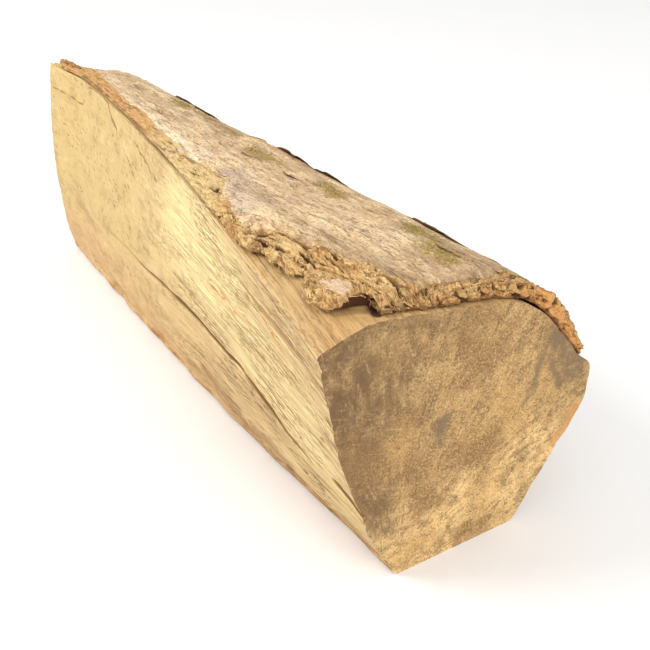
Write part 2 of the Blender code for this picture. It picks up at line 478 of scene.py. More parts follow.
# The wood's two finishes. A finish is built up in steps. What each step gives is a field, and fields
# are added, multiplied, faded and tinted to make the next ones, until one gives the surface its colour.
class Field:
    """What one step of a finish gives: a number, a place or a colour that varies over the surface."""

    def __init__(self, socket):
        self.socket = socket

    def __add__(self, other):
        return maths("ADD", self, other)

    def __sub__(self, other):
        return maths("SUBTRACT", self, other)

    def __rsub__(self, other):
        return maths("SUBTRACT", other, self)

    def __mul__(self, other):
        return maths("MULTIPLY", self, other)

    def __abs__(self):
        return maths("ABSOLUTE", self)


def fed(kind, feeds, output=0, **settings):
    """Adds one step, each of its sockets fed a plain value or a field, and gives one of its outputs."""
    tree = next(value.socket.id_data for value in feeds.values() if isinstance(value, Field))
    step = tree.nodes.new(kind)
    for name, value in settings.items():
        setattr(step, name, value)
    for socket, value in feeds.items():
        if isinstance(value, Field):
            tree.links.new(value.socket, step.inputs[socket])
        else:
            step.inputs[socket].default_value = value
    return Field(step.outputs[output])


def carried(tree, name, output="Fac"):
    """A field that the mesh carries from point to point."""
    step = tree.nodes.new("ShaderNodeAttribute")
    step.attribute_name = name
    return Field(step.outputs[output])


def place_in(tree):
    """The place of each point, in the log's own frame."""
    return Field(tree.nodes.new("ShaderNodeTexCoord").outputs["Object"])


def maths(operation, first, second=0.0):
    return fed("ShaderNodeMath", {0: first, 1: second}, operation=operation)


def largest(first, second):
    return maths("MAXIMUM", first, second)


def clamped(value):
    return fed("ShaderNodeClamp", {"Value": value})


def part(place, axis):
    return fed("ShaderNodeSeparateXYZ", {0: place}, axis)


def joined(x, y, z=0.0):
    return fed("ShaderNodeCombineXYZ", {"X": x, "Y": y, "Z": z})


def grey(shade):
    return fed("ShaderNodeCombineColor", {0: shade, 1: shade, 2: shade})


def vectors(operation, first, second):
    output = "Value" if operation in ("DISTANCE", "DOT_PRODUCT", "LENGTH") else "Vector"
    return fed("ShaderNodeVectorMath", {0: first, 1: second}, output, operation=operation)


def stretched(place, scale, shift=(0.0, 0.0, 0.0), turn=0.0):
    feeds = {"Vector": place, "Scale": scale, "Location": shift, "Rotation": (0.0, 0.0, turn)}
    return fed("ShaderNodeMapping", feeds)


def noisy(place, scale, shift=0.0, detail=2.0, roughness=0.5, turn=0.0):
    """A noise from about 0.25 to 0.75; scale is in features to the metre along each axis."""
    scaled = stretched(stretched(place, (1.0, 1.0, 1.0), turn=turn), scale, (0.0, 0.0, shift))
    feeds = {"Vector": scaled, "Scale": 1.0, "Detail": detail, "Roughness": roughness}
    return fed("ShaderNodeTexNoise", feeds, "Fac")


def fade(value, low, high, start=0.0, end=1.0):
    """Runs smoothly from start, where the value is low, to end, where it is high."""
    feeds = {"Value": value, "From Min": low, "From Max": high, "To Min": start, "To Max": end}
    return fed("ShaderNodeMapRange", feeds, "Result", interpolation_type="SMOOTHSTEP")


def tint(share, first, second, mode="MIX"):
    """The first colour, tinted with a share of the second."""
    first, second = ((*colour, 1.0) if isinstance(colour, tuple) else colour for colour in (first, second))
    return fed("ShaderNodeMix", {0: share, 6: first, 7: second}, 2, data_type="RGBA", blend_type=mode)


def shaken(place, scale, reach):
    """The place moved about by a noise, so that what is drawn there has a ragged edge."""
    colour = fed("ShaderNodeTexNoise", {"Vector": place, "Scale": scale, "Detail": 2.0}, "Color")
    aside = vectors("SUBTRACT", colour, (0.5, 0.5, 0.5))
    return vectors("ADD", place, vectors("MULTIPLY", aside, (reach, reach, reach)))


def beside(place, points, inner, outer):
    """1 within the inner distance of the line through the points, fading to 0 at the outer distance."""
    found = 0.0
    for first, last in zip(points, points[1:]):
        start = Vector((*first, 0.0))
        run = Vector((*last, 0.0)) - start
        offset = vectors("SUBTRACT", place, tuple(start))
        along = vectors("DOT_PRODUCT", offset, tuple(run / run.length_squared))
        foot = fed("ShaderNodeVectorMath", {0: tuple(run), "Scale": clamped(along)}, operation="SCALE")
        found = largest(fade(vectors("DISTANCE", offset, foot), outer, inner), found)
    return found


def new_finish(name):
    """(material, tree, shader) of a new finish with nothing in it yet but the shader."""
    material = bpy.data.materials.new(name)
    material.use_nodes = True
    shader = material.node_tree.nodes["Principled BSDF"]
    shader.inputs["Metallic"].default_value = 0.0
    shader.inputs["Specular IOR Level"].default_value = 0.30
    return material, material.node_tree, shader


def finish_with(shader, colour, roughness, height, relief):
    """Feeds the shader its colour, its roughness and a fine relief of the given height in metres."""
    normal = fed("ShaderNodeBump", {"Strength": 1.0, "Distance": relief, "Height": height})
    for socket, field in (("Base Color", colour), ("Roughness", roughness), ("Normal", normal)):
        shader.id_data.links.new(field.socket, shader.inputs[socket])


BUTTER = (0.740, 0.550, 0.262)
FAR_BUTTER = (0.610, 0.440, 0.188)
STRAW = (0.685, 0.485, 0.232)
PALE_BUTTER = (0.800, 0.610, 0.310)
CLEAN_BUTTER = (0.890, 0.725, 0.350)
TAN = (0.600, 0.400, 0.188)
LOW_EDGE_TAN = (0.625, 0.405, 0.185)
FLUSH_TAN = (0.530, 0.330, 0.150)
OLIVE_STAIN = (0.410, 0.275, 0.112)
DASH_BROWN = (0.270, 0.145, 0.040)
CRACK_SHADE = (0.075, 0.045, 0.016)
TUNNEL_SHADOW = (0.060, 0.026, 0.016)
LINE_BROWN = (0.380, 0.205, 0.075)
RIM_BROWN = (0.340, 0.175, 0.065)
RUST_MARK = (0.520, 0.210, 0.060)
TRUNK_GOLD = (0.600, 0.370, 0.150)
TRUNK_GROOVE = (0.430, 0.235, 0.085)


def riven_finish():
    """Split wood: butter yellow, tan towards the long low corner, flecked and streaked along the grain."""
    material, tree, shader = new_finish("riven_wood")
    grain = carried(tree, "grain", "Vector")
    sunk = carried(tree, "sunk")
    trunk = carried(tree, "trunk")
    along, around = part(grain, "X"), part(grain, "Y")
    near = fade(along, -0.05, 0.12)
    far = fade(along, 0.06, -0.09)

    cloud = noisy(grain, (9.0, 28.0, 1.0), 1.0)
    colour = tint(fade(cloud, 0.36, 0.62), BUTTER, STRAW)
    colour = tint(far, colour, FAR_BUTTER)
    wander = shaken(grain, 60.0, 0.007)
    clean = beside(wander, [(0.030, 0.110), (0.085, 0.104), (0.160, 0.084)], 0.001, 0.050)
    clean *= fade(along, 0.080, 0.145, 0.96, 0.42)
    colour = tint(clean, colour, CLEAN_BUTTER)
    low = around + cloud * -0.045
    low -= far * 0.016
    colour = tint(fade(low, 0.020, -0.014), colour, LOW_EDGE_TAN)
    dapple = noisy(wander, (52.0, 84.0, 1.0), 10.0, 6.0, 0.74)
    dappled = fade(along, 0.10, -0.04, 0.10, 0.42)
    colour = tint(fade(dapple, 0.49, 0.62) * dappled, colour, OLIVE_STAIN)
    colour = tint(fade(dapple, 0.46, 0.34) * dappled, colour, PALE_BUTTER)
    streak = noisy(wander, (11.0, 330.0, 1.0), 2.0, 5.0, 0.68)
    tan_streak = fade(streak, 0.47, 0.60) * fade(along, -0.02, 0.13, 0.02, 0.80)
    colour = tint(tan_streak, colour, TAN)
    smudge = noisy(wander, (30.0, 105.0, 1.0), 3.0, 6.0, 0.72)
    lower_half = fade(around, 0.110, 0.030, 0.35, 0.75)
    colour = tint(fade(smudge, 0.55, 0.66) * lower_half, colour, OLIVE_STAIN)
    tall_side = fade(around, -0.008, -0.001)
    flush = noisy(wander, (24.0, 62.0, 1.0), 18.0, 6.0, 0.72)
    flushed = fade(flush, 0.50, 0.60) * fade(around, 0.075, 0.015, 0.0, 0.70)
    flushed *= fade(tall_side, 0.0, 1.0, 0.35, 1.0)
    colour = tint(flushed, colour, FLUSH_TAN)
    reddish = fade(dapple, 0.50, 0.58) * fade(around, 0.018, 0.001, 0.0, 0.75)
    colour = tint(reddish * tall_side, colour, RUST_MARK)
    rim = fade(dapple, 0.44, 0.54) * fade(around, 0.0075, 0.0010, 0.0, 0.75)
    colour = tint(rim * tall_side, colour, RIM_BROWN)

    # Fine fibres, and the short dark flecks that the vessels leave where the split runs across them.
    fibre = noisy(grain, (22.0, 900.0, 1.0), 4.0, 3.0, 0.6)
    shade = fade(fibre, 0.30, 0.70, 0.70, 1.17)
    colour = tint(fade(near, 0.0, 0.8, 0.15, 1.0), colour, grey(shade), "MULTIPLY")
    patchy = fade(noisy(grain, (20.0, 48.0, 1.0), 5.0, 4.0, 0.6), 0.40, 0.58)
    long_dash = fade(noisy(grain, (150.0, 1150.0, 1.0), 6.0, 4.0, 0.65), 0.548, 0.590, 0.0, 1.0)
    hair = fade(noisy(grain, (20.0, 820.0, 1.0), 19.0, 3.0, 0.60), 0.565, 0.600)
    long_dash = largest(long_dash, hair)
    long_dash *= fade(along, -0.08, 0.08, 0.0, 1.0)
    short_dash = fade(noisy(grain, (150.0, 640.0, 1.0), 7.0, 4.0, 0.65, turn=0.35), 0.590, 0.650)
    short_dash *= fade(along, 0.10, -0.04, 0.0, 1.0)
    dash = largest(long_dash, short_dash) * fade(patchy, 0.0, 1.0, 0.22, 1.0)
    dash *= fade(clean, 0.0, 1.0, 0.95, 0.60)
    colour = tint(dash, colour, DASH_BROWN)
    vein = noisy(wander, (26.0, 70.0, 1.0), 15.0, 5.0, 0.72)
    veins = fade(abs(vein - 0.5), 0.010, 0.001)
    veins *= fade(dapple, 0.50, 0.60)
    colour = tint(veins * fade(along, 0.08, -0.04, 0.0, 0.75), colour, DASH_BROWN)

    # Marks at their own places: fine cracks near the far end, stains on the lower half, rusty streaks.
    ragged = shaken(grain, 130.0, 0.004)
    fork = [(-0.115, 0.141), (-0.103, 0.138), (-0.097, 0.132), (-0.086, 0.127)]
    fine = beside(ragged, fork, 0.0004, 0.0014)
    for ends in (
        ((-0.198, 0.124), (-0.150, 0.124)),
        ((-0.140, 0.138), (-0.115, 0.141)),
        ((-0.055, 0.132), (-0.011, 0.123)),
        ((-0.072, 0.121), (-0.050, 0.112)),
    ):
        fine = largest(fine, beside(ragged, ends, 0.0002, 0.0010))
    colour = tint(fine * 0.90, colour, DASH_BROWN)
    rust = beside(ragged, [(0.136, 0.116), (0.152, 0.113)], 0.0004, 0.0060)
    rust = largest(rust, beside(ragged, [(0.070, 0.100), (0.098, 0.098)], 0.0004, 0.0070))
    scattered = fade(noisy(wander, (120.0, 420.0, 1.0), 17.0, 4.0, 0.7), 0.49, 0.56, 0.0, 0.95)
    colour = tint(rust * scattered, colour, RUST_MARK)
    scar = beside(ragged, [(0.035, 0.027), (0.065, 0.021), (0.105, 0.019), (0.140, 0.015)], 0.0006, 0.0050)
    scar *= fade(smudge, 0.40, 0.54, 0.1, 0.75)
    colour = tint(scar, colour, RIM_BROWN)
    stain = beside(ragged, [(-0.112, 0.008), (-0.086, 0.012)], 0.001, 0.006)
    stain = largest(stain, beside(ragged, [(-0.165, 0.058), (-0.135, 0.046)], 0.001, 0.009))
    stain = largest(stain, beside(ragged, [(-0.050, 0.036), (-0.040, 0.034)], 0.001, 0.006))
    colour = tint(stain * 0.65, colour, OLIVE_STAIN)

    # Below the ridge, towards the near end, a few long dark grooves run along the grain.
    line = noisy(wander, (4.0, 330.0, 1.0), 20.0, 3.0, 0.55)
    lines = fade(line, 0.550, 0.580) * fade(along, 0.095, 0.125)
    lines *= fade(around, ridge_around - 0.034, ridge_around - 0.018, 0.0, 0.80)
    colour = tint(lines, colour, LINE_BROWN)

    # The strip of bared trunk surface: deeper gold, with dark grooves.
    groove = noisy(grain, (9.0, 330.0, 1.0), 8.0, 5.0, 0.68)
    trunk_colour = tint(fade(groove, 0.50, 0.58), TRUNK_GOLD, TRUNK_GROOVE)
    trunk_colour = tint(fade(cloud, 0.40, 0.65, 0.0, 0.5), trunk_colour, STRAW)
    colour = tint(trunk, colour, trunk_colour)
    # Painted shade, brown to near black, in the grooves and cracks.
    colour = tint(fade(sunk, 0.0, 0.5), colour, DASH_BROWN)
    colour = tint(fade(sunk, 0.35, 0.90), colour, CRACK_SHADE)
    # Painted shadow: a dark patch on the wood under the arch, where the torn mat stands off it.
    tunnel_shadow = beside(ragged, [(0.1865, 0.1730), (0.1935, 0.1712)], 0.0022, 0.0042)
    colour = tint(tunnel_shadow, colour, TUNNEL_SHADOW)

    height = fibre * fade(near, 0.0, 1.0, 0.15, 1.0) + dash * -0.5
    finish_with(shader, colour, fade(fibre, 0.3, 0.7, 0.62, 0.78), height, 0.00045)
    return material


END_GOLD = (0.620, 0.395, 0.165)
END_BRIGHT = (0.960, 0.645, 0.285)
END_TAN = (0.500, 0.300, 0.122)
END_DARK = (0.205, 0.120, 0.055)
END_SPECK = (0.150, 0.088, 0.036)
END_GREY = (0.215, 0.145, 0.082)
END_PALE = (0.800, 0.535, 0.225)
END_RUST = (0.600, 0.300, 0.100)
END_BROWN = (0.300, 0.165, 0.062)
END_CLEAN = (0.640, 0.385, 0.138)
# Patches on the near end: (distance out from the pith and height of both ends of a line, and its reach).
GOLD_PATCHES = [
    (0.0027, 0.0677, 0.0014, 0.0743, 0.012),
    (0.0514, 0.0311, 0.0488, 0.0218, 0.017),
    (0.0839, 0.0697, 0.0797, 0.0812, 0.012),
    (0.0038, 0.0116, 0.0207, 0.0144, 0.013),
    (0.0681, 0.0588, 0.0546, 0.0745, 0.015),
]
BROWN_PATCHES = [
    (0.0323, 0.0525, 0.0523, 0.0541, 0.012),
    (0.0111, 0.0549, 0.0145, 0.0339, 0.011),
    (0.0394, 0.0473, 0.0248, 0.0354, 0.004),
    (0.0386, 0.0058, 0.0564, 0.0064, 0.007),
    (0.0342, 0.1133, 0.0459, 0.1024, 0.014),
]


def sawn_finish():
    """A sawn end: greyed brown along the top and the tall side, golden low down, with rays and specks."""
    material, tree, shader = new_finish("sawn_wood")
    place = place_in(tree)
    out = part(place, "Y") - pith_y
    up = part(place, "Z")
    section = joined(out, up)
    flat = joined(out, up, part(place, "X") * 0.2)
    radius = vectors("LENGTH", section, (0.0, 0.0, 0.0))
    at_near = fade(part(place, "X"), -0.05, 0.05)

    # Grey weathering, deepest at the ridge, along the tall face's rim and across the top.
    cloud = noisy(flat, (26.0, 26.0, 1.0), 1.0, 4.0, 0.6)
    blotch = noisy(flat, (75.0, 75.0, 1.0), 2.0, 4.0, 0.65)
    drift = shaken(section, 32.0, 0.018)
    corner_grey = beside(drift, [(-0.036, 0.122), (-0.028, 0.092)], 0.004, 0.064)
    rim_grey = beside(drift, [(-0.032, 0.095), (-0.010, 0.036)], 0.001, 0.024)
    top_grey = beside(drift, [(-0.030, 0.128), (0.022, 0.130)], 0.002, 0.036)
    colour = tint(fade(cloud, 0.40, 0.60), END_GOLD, END_TAN)
    low = beside(drift, [(0.005, 0.008), (0.078, 0.030)], 0.012, 0.044)
    colour = tint(low * fade(blotch, 0.62, 0.42, 0.60, 1.0), colour, END_BRIGHT)
    centre_tan = beside(drift, [(0.020, 0.055), (0.075, 0.080)], 0.010, 0.055)
    colour = tint(centre_tan * fade(blotch, 0.42, 0.58, 0.10, 0.70), colour, END_TAN)
    greyed = largest(corner_grey * 0.98, rim_grey * 0.80)
    greyed = largest(greyed, top_grey * 0.55)
    greyed *= fade(blotch, 0.36, 0.60, 0.55, 1.12)
    colour = tint(clamped(greyed), colour, END_DARK)

    # Rays run out from the pith, in short smears; growth rings curve round it, faintly.
    wavy = shaken(flat, 60.0, 0.006)
    turn = maths("ARCTAN2", part(wavy, "Y"), part(wavy, "X"))
    fan = joined(turn, radius, at_near)
    ray = noisy(fan, (30.0, 85.0, 3.0), 3.0, 6.0, 0.76)
    colour = tint(fade(ray, 0.50, 0.62, 0.0, 0.62), colour, END_SPECK)
    colour = tint(fade(ray, 0.46, 0.35, 0.0, 0.45), colour, END_PALE)
    mottle = noisy(wavy, (70.0, 70.0, 1.0), 11.0, 6.0, 0.74)
    colour = tint(fade(mottle, 0.50, 0.62, 0.0, 0.62), colour, END_DARK)
    smear = noisy(wavy, (34.0, 34.0, 1.0), 12.0, 6.0, 0.70)
    colour = tint(fade(smear, 0.51, 0.61, 0.0, 0.55), colour, END_BROWN)

    # The near end's own patches, clean gold and brown smears: each is a line across it, with its reach.
    patched = shaken(section, 90.0, 0.010)
    for patches, patch_colour, most in ((GOLD_PATCHES, END_CLEAN, 0.70), (BROWN_PATCHES, END_BROWN, 0.85)):
        covered = 0.0
        for start_y, start_z, end_y, end_z, reach in patches:
            line = [(start_y, start_z), (end_y, end_z)]
            covered = largest(beside(patched, line, 0.1 * reach, reach), covered)
        covered *= fade(mottle, 0.42, 0.56, 0.45 * most, most)
        colour = tint(covered * at_near, colour, patch_colour)
    ring = noisy(fan, (2.5, 240.0, 3.0), 4.0, 2.0)
    colour = tint(fade(ring, 0.56, 0.66, 0.0, 0.20), colour, END_SPECK)

    # Dark specks of open vessels and saw dirt, and pale scratches of the saw.
    speck = noisy(flat, (900.0, 900.0, 1.0), 5.0, 4.0, 0.80)
    dirt = noisy(wavy, (150.0, 150.0, 1.0), 9.0, 6.0, 0.80)
    cells = fed("ShaderNodeTexVoronoi", {"Vector": flat, "Scale": 820.0}, "Distance")
    vessels = fade(cells, 0.42, 0.16) * fade(dirt, 0.40, 0.56, 0.25, 0.85)
    colour = tint(fade(dirt, 0.52, 0.62, 0.0, 0.42), colour, END_SPECK)
    colour = tint(vessels, colour, END_SPECK)
    colour = tint(fade(speck, 0.51, 0.64, 0.0, 0.45), colour, END_SPECK)
    clean = clamped(1.0 - greyed)
    pale_speck = fade(speck, 0.49, 0.37, 0.0, 0.62) * clean
    colour = tint(pale_speck, colour, END_PALE)
    scratch = noisy(flat, (16.0, 700.0, 1.0), 6.0, 2.0, turn=0.36)
    scratched = fade(scratch, 0.64, 0.70) * fade(cloud, 0.46, 0.58, 0.0, 0.30)
    colour = tint(scratched, colour, END_PALE)

    # Stains of the near end: a forked greyed streak near the bark, a small dark blotch, a rusty lower rim.
    ragged = shaken(drift, 260.0, 0.004)
    fork = [(0.0700, 0.069), (0.0785, 0.094), (0.0905, 0.066)]
    streaks = beside(ragged, fork, 0.0008, 0.0042)
    patch = beside(ragged, [(0.086, 0.100), (0.098, 0.076)], 0.004, 0.017)
    patch *= fade(mottle, 0.40, 0.55, 0.45, 1.0)
    spot = beside(ragged, [(0.0225, 0.075), (0.0225, 0.066)], 0.0016, 0.0060)
    stain = largest(streaks * 0.78, patch * 0.82)
    stain = largest(stain, spot * 0.8) * at_near
    colour = tint(stain, colour, END_GREY)
    rust = beside(ragged, [(0.091, 0.036), (0.103, 0.050)], 0.0010, 0.0052)
    rust = largest(rust, beside(ragged, [(0.098, 0.106), (0.108, 0.084)], 0.001, 0.006))
    colour = tint(rust * at_near * 0.7, colour, END_RUST)

    height = speck + scratch * 0.4
    finish_with(shader, colour, fade(speck, 0.3, 0.7, 0.85, 0.74), height, 0.00050)
    return material


new_piece("wood_riven", wood_mesh, "riven_wood", [riven_finish(), sawn_finish()], "wood")

# ---- The inner bark ----
# The tough, fibrous, golden-brown layer of bark that lies on the wood. It shows as a torn band beside
# the ridge, and towards the near end, where the outer skin is gone, as a ragged mat of fibres with
# hollows under it.
INNER_ROWS_UNDER_SKIN = 10
INNER_ROWS_SHOWN = 90
INNER_SHOWN_SPAN = math.radians(20.0)
SHOWN_START = math.radians(2.6)
# How closely the rows across the sheet lie from each place along the log on, in metres.
INNER_STEPS = [(-0.200, 0.00180), (0.040, 0.00095), (0.092, 0.00043)]
INNER_SHARE = 0.50
SHOWN_SHARE = 0.90
EDGE_THICKNESS = 0.0011
EDGE_TAPER = math.radians(1.3)
LOW_TAPER = math.radians(4.0)
STRAND_TURN = math.radians(-4.0)
FAR_SETBACK = 0.0125

# In degrees about the pith, along the log: where the outer skin ends, and where the inner bark ends
# where it was torn off well short of the ridge.
SKIN_EDGE = [(-0.200, 79.8), (-0.168, 80.9), (-0.157, 82.8), (-0.130, 84.6), (-0.090, 85.8), (-0.062, 86.0)]
SKIN_EDGE += [(-0.026, 87.9), (0.001, 89.2), (0.037, 88.9), (0.050, 88.0), (0.054, 91.2), (0.069, 93.9)]
SKIN_EDGE += [(0.094, 96.3), (0.102, 97.0), (0.111, 96.7), (0.117, 95.6), (0.138, 93.1), (0.158, 90.3)]
SKIN_EDGE += [(0.171, 87.6), (0.185, 86.2), (0.1915, 82.4), (0.1945, 77.0), (0.1985, 66.0)]
INNER_EDGE = [(0.100, 98.9), (0.119, 99.2), (0.127, 98.0), (0.136, 98.8), (0.147, 98.4), (0.154, 96.8)]
INNER_EDGE += [(0.160, 97.6), (0.166, 99.8), (0.178, 100.6), (0.184, 99.8), (0.1875, 97.4), (0.1900, 94.2)]
INNER_EDGE += [(0.195, 93.6), (0.1985, 92.8)]
RIDGE_REACH = math.radians(1.25)
RELIEF_HEIGHT = [
    (-0.200, 0.0013), (-0.030, 0.0014), (0.040, 0.0016), (0.095, 0.0022), (0.120, 0.0030), (0.200, 0.0032)
]
# Hollows torn in the mat: (distance along the log, degrees, half length, half width, depth).
MAT_HOLLOWS = [
    (0.0300, 91.8, 0.0050, 0.0010, 0.0020),
    (0.0560, 92.6, 0.0060, 0.0008, 0.0018),
    (0.1210, 97.2, 0.0080, 0.0012, 0.0036),
    (0.1350, 96.6, 0.0060, 0.0010, 0.0032),
    (0.1300, 94.0, 0.0060, 0.0006, 0.0022),
    (0.1480, 94.4, 0.0060, 0.0008, 0.0028),
    (0.1600, 92.0, 0.0080, 0.0006, 0.0024),
    (0.1800, 90.8, 0.0080, 0.0008, 0.0030),
    (0.1870, 87.0, 0.0070, 0.0010, 0.0036),
    (0.1940, 82.2, 0.0050, 0.0008, 0.0020),
    (0.1960, 66.5, 0.0040, 0.0018, 0.0026),
]
ARCH_PLACE = 0.1925
ARCH_HALF_LENGTH = 0.0052
ARCH_SPAN = math.radians(5.0)
ARCH_HEIGHT = 0.0054
# By the near saw cut the bark's outer side slopes in, and low on the +Y side it is thicker.
NEAR_SLOPE = 0.0030
NEAR_SWELL = 0.0036
PAD_PLACE = (0.1745, 97.4)
PAD_HALF_LENGTH = 0.0125
PAD_HALF_SPAN = 3.6
PAD_HEIGHT = 0.0022
SKIN_REMNANT_PLACE = (0.1780, 95.9)


def bark_outlines(solid):
    """The CAD bark's (angles, inner radii, outer radii) at each station, measured about the pith."""
    rings = {}
    for vertex in solid.verts:
        out, up = vertex.co.y - pith_y, vertex.co.z
        rings.setdefault(round(vertex.co.x, 5), []).append((math.atan2(up, out), math.hypot(out, up)))
    places = sorted(rings)
    walls = []
    for x in places:
        spots = sorted(rings[x])
        pairs = [(first[0], *sorted((first[1], last[1]))) for first, last in zip(spots[0::2], spots[1::2])]
        walls.append(pairs)
    return places, walls


bark_places, bark_walls = bark_outlines(bark_solid)
bark_far, bark_near = bark_places[0], bark_places[-1]


def bark_station(x):
    """(index, share) of a place along the log between two of the bark's stations."""
    after = min(max(bisect.bisect_right(bark_places, x), 1), len(bark_places) - 1)
    low, high = bark_places[after - 1], bark_places[after]
    return after - 1, min(max((x - low) / (high - low), 0.0), 1.0)


def bark_edges(x):
    """(low, high) angles of the CAD bark's two long edges."""
    first, share = bark_station(x)
    here, there = bark_walls[first], bark_walls[first + 1]
    return blend(here[0][0], there[0][0], share), blend(here[-1][0], there[-1][0], share)


def bark_radii(x, angle):
    """(inner, outer) radius of the CAD bark; past its edges it goes on as it is at them."""
    first, share = bark_station(x)
    found = []
    for wall in (bark_walls[first], bark_walls[first + 1]):
        step = (angle - wall[0][0]) / (wall[-1][0] - wall[0][0]) * (len(wall) - 1)
        step = min(max(step, 0.0), len(wall) - 1.0)
        index = min(int(step), len(wall) - 2)
        found.append([blend(wall[index][side], wall[index + 1][side], step - index) for side in (1, 2)])
    inner, outer = blend(found[0][0], found[1][0], share), blend(found[0][1], found[1][1], share)
    outer -= NEAR_SLOPE * ease(0.184, 0.1985, x) * ease(math.radians(54.0), math.radians(66.0), angle)
    outer += NEAR_SWELL * ease(0.160, 0.195, x) * hump(angle, math.radians(45.0), math.radians(9.0))
    return inner, outer


def about_pith(x, angle, radius):
    return Vector((x, pith_y + radius * math.cos(angle), radius * math.sin(angle)))


def rag(x, seed):
    """How far a torn edge wanders at this place along the log, between about -1 and 1."""
    return noise.noise(Vector((x * 45.0, seed, 0.0))) + 0.6 * noise.noise(Vector((x * 160.0, seed, 5.0)))


def skin_edge(x):
    """The angle at which the outer skin ends."""
    torn = math.radians(read_curve(SKIN_EDGE, x) + 0.7 * rag(x, 21.0))
    return min(torn, bark_edges(x)[1] - math.radians(0.3))


def inner_edge(x):
    """The angle at which the inner bark ends: beside the ridge or, towards the near end, short of it."""
    by_ridge = bark_edges(x)[1] + RIDGE_REACH + math.radians(0.25 * rag(x, 22.0))
    frayed = 0.9 * rag(x, 22.0) + 0.35 * noise.noise(Vector((x * 520.0, 22.0, 5.0)))
    short = math.radians(read_curve(INNER_EDGE, x) + frayed)
    return blend(by_ridge, short, ease(0.088, 0.104, x))


def ridged(x, y, seed):
    """1 along the crest of a strand and 0 between strands."""
    return 1.0 - min(1.0, 2.3 * abs(noise.noise(Vector((x, y, seed)))))


def strands(x, arc, turn):
    """(bundles, fine strands, flakes, rims) of torn bast at a place, each between 0 and 1, running at
    the given turn. A rim is the broken border of a flake."""
    along = x * math.cos(turn) + arc * math.sin(turn)
    across = arc * math.cos(turn) - x * math.sin(turn)
    across += 0.0034 * noise.noise(Vector((x * 48.0, arc * 60.0, 31.0)))
    across += 0.0016 * noise.noise(Vector((x * 150.0, arc * 170.0, 30.0)))
    along += 0.0020 * noise.noise(Vector((x * 120.0, arc * 260.0, 29.0)))
    bundle = ridged(along * 55.0, across * 250.0, 32.0)
    fine = ridged(along * 130.0, across * 560.0, 33.0)
    level = noise.noise(Vector((along * 84.0, across * 215.0, 34.0)))
    level += 0.35 * noise.noise(Vector((along * 230.0, across * 520.0, 40.0)))
    flake = 0.5 * ease(-0.12, -0.06, level) + 0.5 * ease(0.16, 0.22, level)
    rim = max(hump(level, -0.13, 0.035), hump(level, 0.15, 0.035))
    return bundle, fine, flake, rim


def oval(x, degrees, place, half_length, half_span, turn=0.0):
    """1 in the middle of an oval about a place, falling to 0; its half span is in degrees."""
    along = x - place[0]
    across = math.radians(degrees - place[1]) * TRUNK_RADIUS
    reach = math.radians(half_span) * TRUNK_RADIUS
    run = along * math.cos(turn) + across * math.sin(turn)
    side = across * math.cos(turn) - along * math.sin(turn)
    return math.exp(-((run / half_length) ** 2 + (side / reach) ** 2))


def hollow_at(x, degrees):
    """How deep the mat's hollows are at a place, in metres."""
    deep = 0.0
    for place_x, place_degrees, half_length, half_width, depth in MAT_HOLLOWS:
        if abs(x - place_x) < 3.0 * half_length:
            half_span = math.degrees(half_width / TRUNK_RADIUS)
            shape = oval(x, degrees, (place_x, place_degrees), half_length, half_span, STRAND_TURN)
            deep = max(deep, depth * ease(0.25, 0.70, shape))
    return deep


def inner_lift(x, angle):
    """How far the inner bark's torn edge stands off the wood."""
    edge = inner_edge(x)
    loose = ease(edge - math.radians(3.0), edge, angle)
    near = ease(0.085, 0.110, x)
    gaping = max(0.0, noise.noise(Vector((x * 75.0, 2.0, 35.0))) + 0.15)
    lift = loose * (0.0002 + near * (0.0006 + 0.0042 * gaping))
    arch = hump(x, ARCH_PLACE, ARCH_HALF_LENGTH) * ease(edge - ARCH_SPAN, edge - 0.2 * ARCH_SPAN, angle)
    return max(lift, ARCH_HEIGHT * ease(0.12, 0.60, arch))


